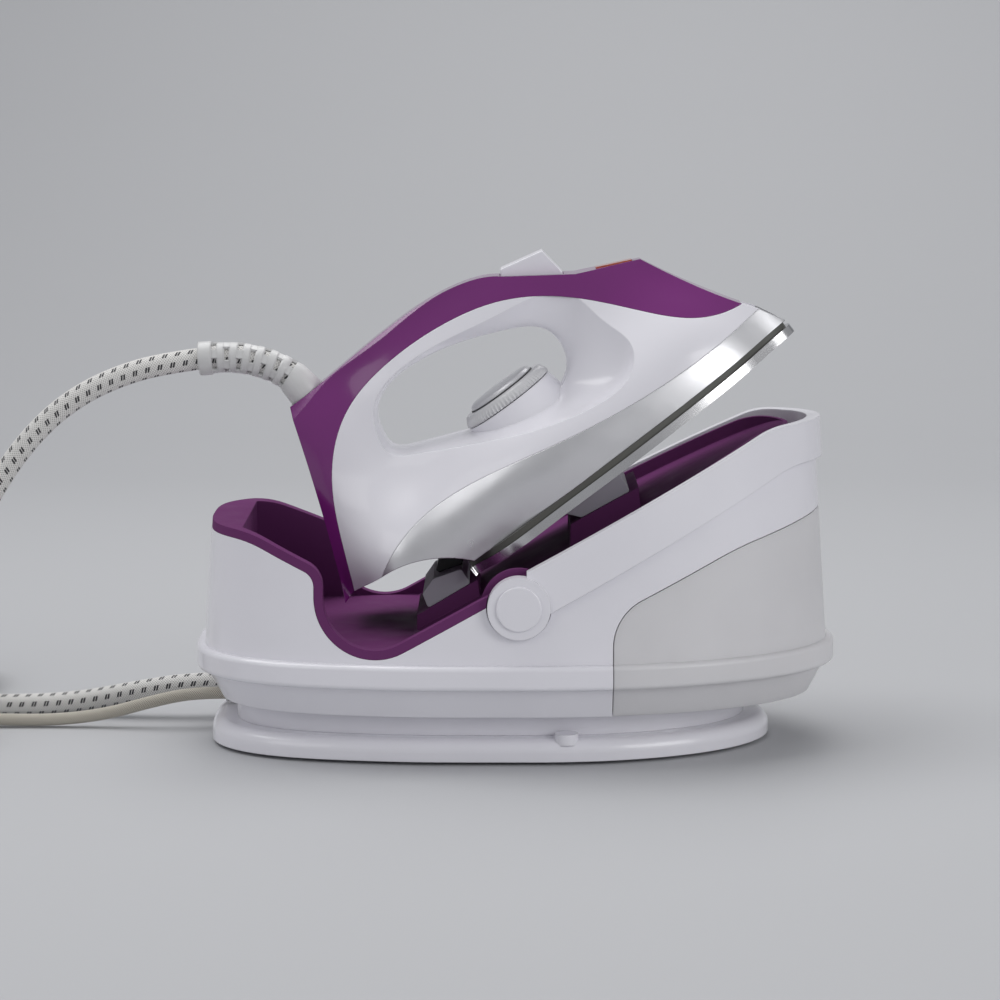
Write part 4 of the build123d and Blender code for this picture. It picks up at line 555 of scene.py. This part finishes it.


# Temperature dial: clear ribbed ring, black disc as painted shadow in the gap under the cap, and grey cap

def spun_dial(name, profile, ribbed, material):
    """Turned piece about the dial's axis; ribs come from drawing in every other corner of the rim."""
    steps = 2 * DIAL_RIBS
    bm = bmesh.new()
    corners = [bm.verts.new((radius * MM, 0, height * MM)) for radius, height in profile]
    edges = [bm.edges.new(pair) for pair in zip(corners, corners[1:])]
    bmesh.ops.spin(bm, geom=corners + edges, cent=(0, 0, 0), axis=(0, 0, 1), angle=2 * pi, steps=steps,
                   use_merge=True)
    bmesh.ops.remove_doubles(bm, verts=bm.verts, dist=0.00001)
    if ribbed:
        drawn_in = []
        for vertex in bm.verts:
            around = vertex.co.xy.angle_signed(Vector((1, 0)), 0.0) / (2 * pi)
            if vertex.co.xy.length > (DIAL_RADIUS - DIAL_RIB_RIM) * MM and round(around * steps) % 2:
                drawn_in.append(vertex)
        bmesh.ops.scale(bm, vec=(DIAL_RIB_SHARE, DIAL_RIB_SHARE, 1.0), verts=drawn_in)
    stand = Matrix.Translation(iron_place(DIAL_U, DIAL_BASE)) @ Matrix.Rotation(-IRON_TILT, 4, "Y")
    bmesh.ops.transform(bm, matrix=stand, verts=bm.verts)
    piece = shown(mesh_from(bm, name), name, material)
    piece.data.set_sharp_from_angle(angle=SHARP)
    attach(piece, "dial")
    return piece


dial_ring = spun_dial("dial_ring", DIAL_RING, True, dial_clear)
# black disc standing in for the shadow in the gap between ring and cap
spun_dial("dial_shadow_disc", DIAL_SHADOW_DISC, False, black_rubber_and_shadow)
spun_dial("dial_cap", DIAL_CAP, False, dial_grey)
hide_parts("temperature_dial")

# Nose: plates that close the body and the skirt in front of the top cover

def nose_plate(name, carrier, start, end, material):
    """Plate between the side walls of a piece of the iron, between two (u, w) places on its nose line."""
    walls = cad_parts[carrier]
    inward = Vector((end[1] - start[1], start[0] - end[0])).normalized() * NOSE_DEPTH
    bm = bmesh.new()
    rows = []
    for step in range(NOSE_STEPS + 1):
        share = step / NOSE_STEPS
        place = iron_place(*(Vector(start).lerp(Vector(end), share) + inward))
        found, wall, _, _ = walls.ray_cast(place, Vector((0, 1, 0)))
        half = (wall.y if found else 0.0) + NOSE_SEAT * MM
        rows.append([bm.verts.new(place + Vector((0, side * half, 0))) for side in (-1, 1)])
    for before, after in zip(rows, rows[1:]):
        bm.faces.new((before[0], before[1], after[1], after[0]))
    bmesh.ops.recalc_face_normals(bm, faces=bm.faces)
    bmesh.ops.solidify(bm, geom=bm.faces[:], thickness=NOSE_THICK * MM)
    piece = shown(mesh_from(bm, name), name, material)
    piece.data.set_sharp_from_angle(angle=SHARP)
    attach(piece, "iron")


nose_plate("nose_plate_white", "iron_body", NOSE_TOP, NOSE_MIDDLE, white_plastic)
nose_plate("nose_plate_silver", "skirt", NOSE_MIDDLE, NOSE_TIP, silver_skirt)

# Studio: pale floor that curves up to the backdrop, soft lamps, pale surroundings
bm = bmesh.new()
bend_start = STUDIO_REAR - STUDIO_BEND
outline = [(STUDIO_FRONT, 0.0)]
for angle in range(0, 91, 10):
    outline.append((bend_start + STUDIO_BEND * sin(radians(angle)), STUDIO_BEND * (1 - cos(radians(angle)))))
outline.append((STUDIO_REAR, STUDIO_HIGH))
strip = [bm.verts.new((-STUDIO_HALF, y, z)) for y, z in outline]
strip_edges = [bm.edges.new(pair) for pair in zip(strip, strip[1:])]
grown = bmesh.ops.extrude_edge_only(bm, edges=strip_edges)["geom"]
far_edge = [part for part in grown if isinstance(part, bmesh.types.BMVert)]
bmesh.ops.translate(bm, vec=(2 * STUDIO_HALF, 0, 0), verts=far_edge)
studio_mesh = bpy.data.meshes.new("studio")
bm.to_mesh(studio_mesh)
bm.free()
studio = bpy.data.objects.new("studio", studio_mesh)
bpy.context.scene.collection.objects.link(studio)
studio_mesh.shade_smooth()
studio_grey, _, _ = finish_start("studio_grey", (0.46, 0.465, 0.48), 0.6)
studio_mesh.materials.append(studio_grey)


def soft_lamp(name, place, aim, wide, high, power):
    """Soft lamp that faces a place."""
    lamp = bpy.data.lights.new(name, "AREA")
    lamp.shape = "RECTANGLE"
    lamp.size = wide
    lamp.size_y = high
    lamp.energy = power
    holder = bpy.data.objects.new(name, lamp)
    holder.location = place
    holder.rotation_euler = (Vector(aim) - Vector(place)).to_track_quat("-Z", "Y").to_euler()
    bpy.context.scene.collection.objects.link(holder)


soft_lamp("overhead", (-0.4, 0.5, 1.8), (0, 0, 0.1), 3.0, 1.2, 34)
soft_lamp("front_left", (-1.5, -1.5, 1.0), (0, 0, 0.1), 1.2, 1.2, 5)
soft_lamp("front_right", (1.5, -1.3, 0.8), (0, 0, 0.15), 1.1, 1.1, 13)

world = bpy.data.worlds.new("studio_air")
world.use_nodes = True
world.node_tree.nodes["Background"].inputs["Color"].default_value = (0.82, 0.83, 0.86, 1.0)
world.node_tree.nodes["Background"].inputs["Strength"].default_value = 0.42
bpy.context.scene.world = world

camera = bpy.data.cameras.new("camera")
camera.lens = LENS
camera.sensor_width = 36.0
holder = bpy.data.objects.new("camera", camera)
holder.location = EYE
holder.rotation_euler = (radians(90.0 - LOOK_DOWN), 0.0, 0.0)
bpy.context.scene.collection.objects.link(holder)
bpy.context.scene.camera = holder
bpy.context.scene.view_settings.view_transform = "Standard"
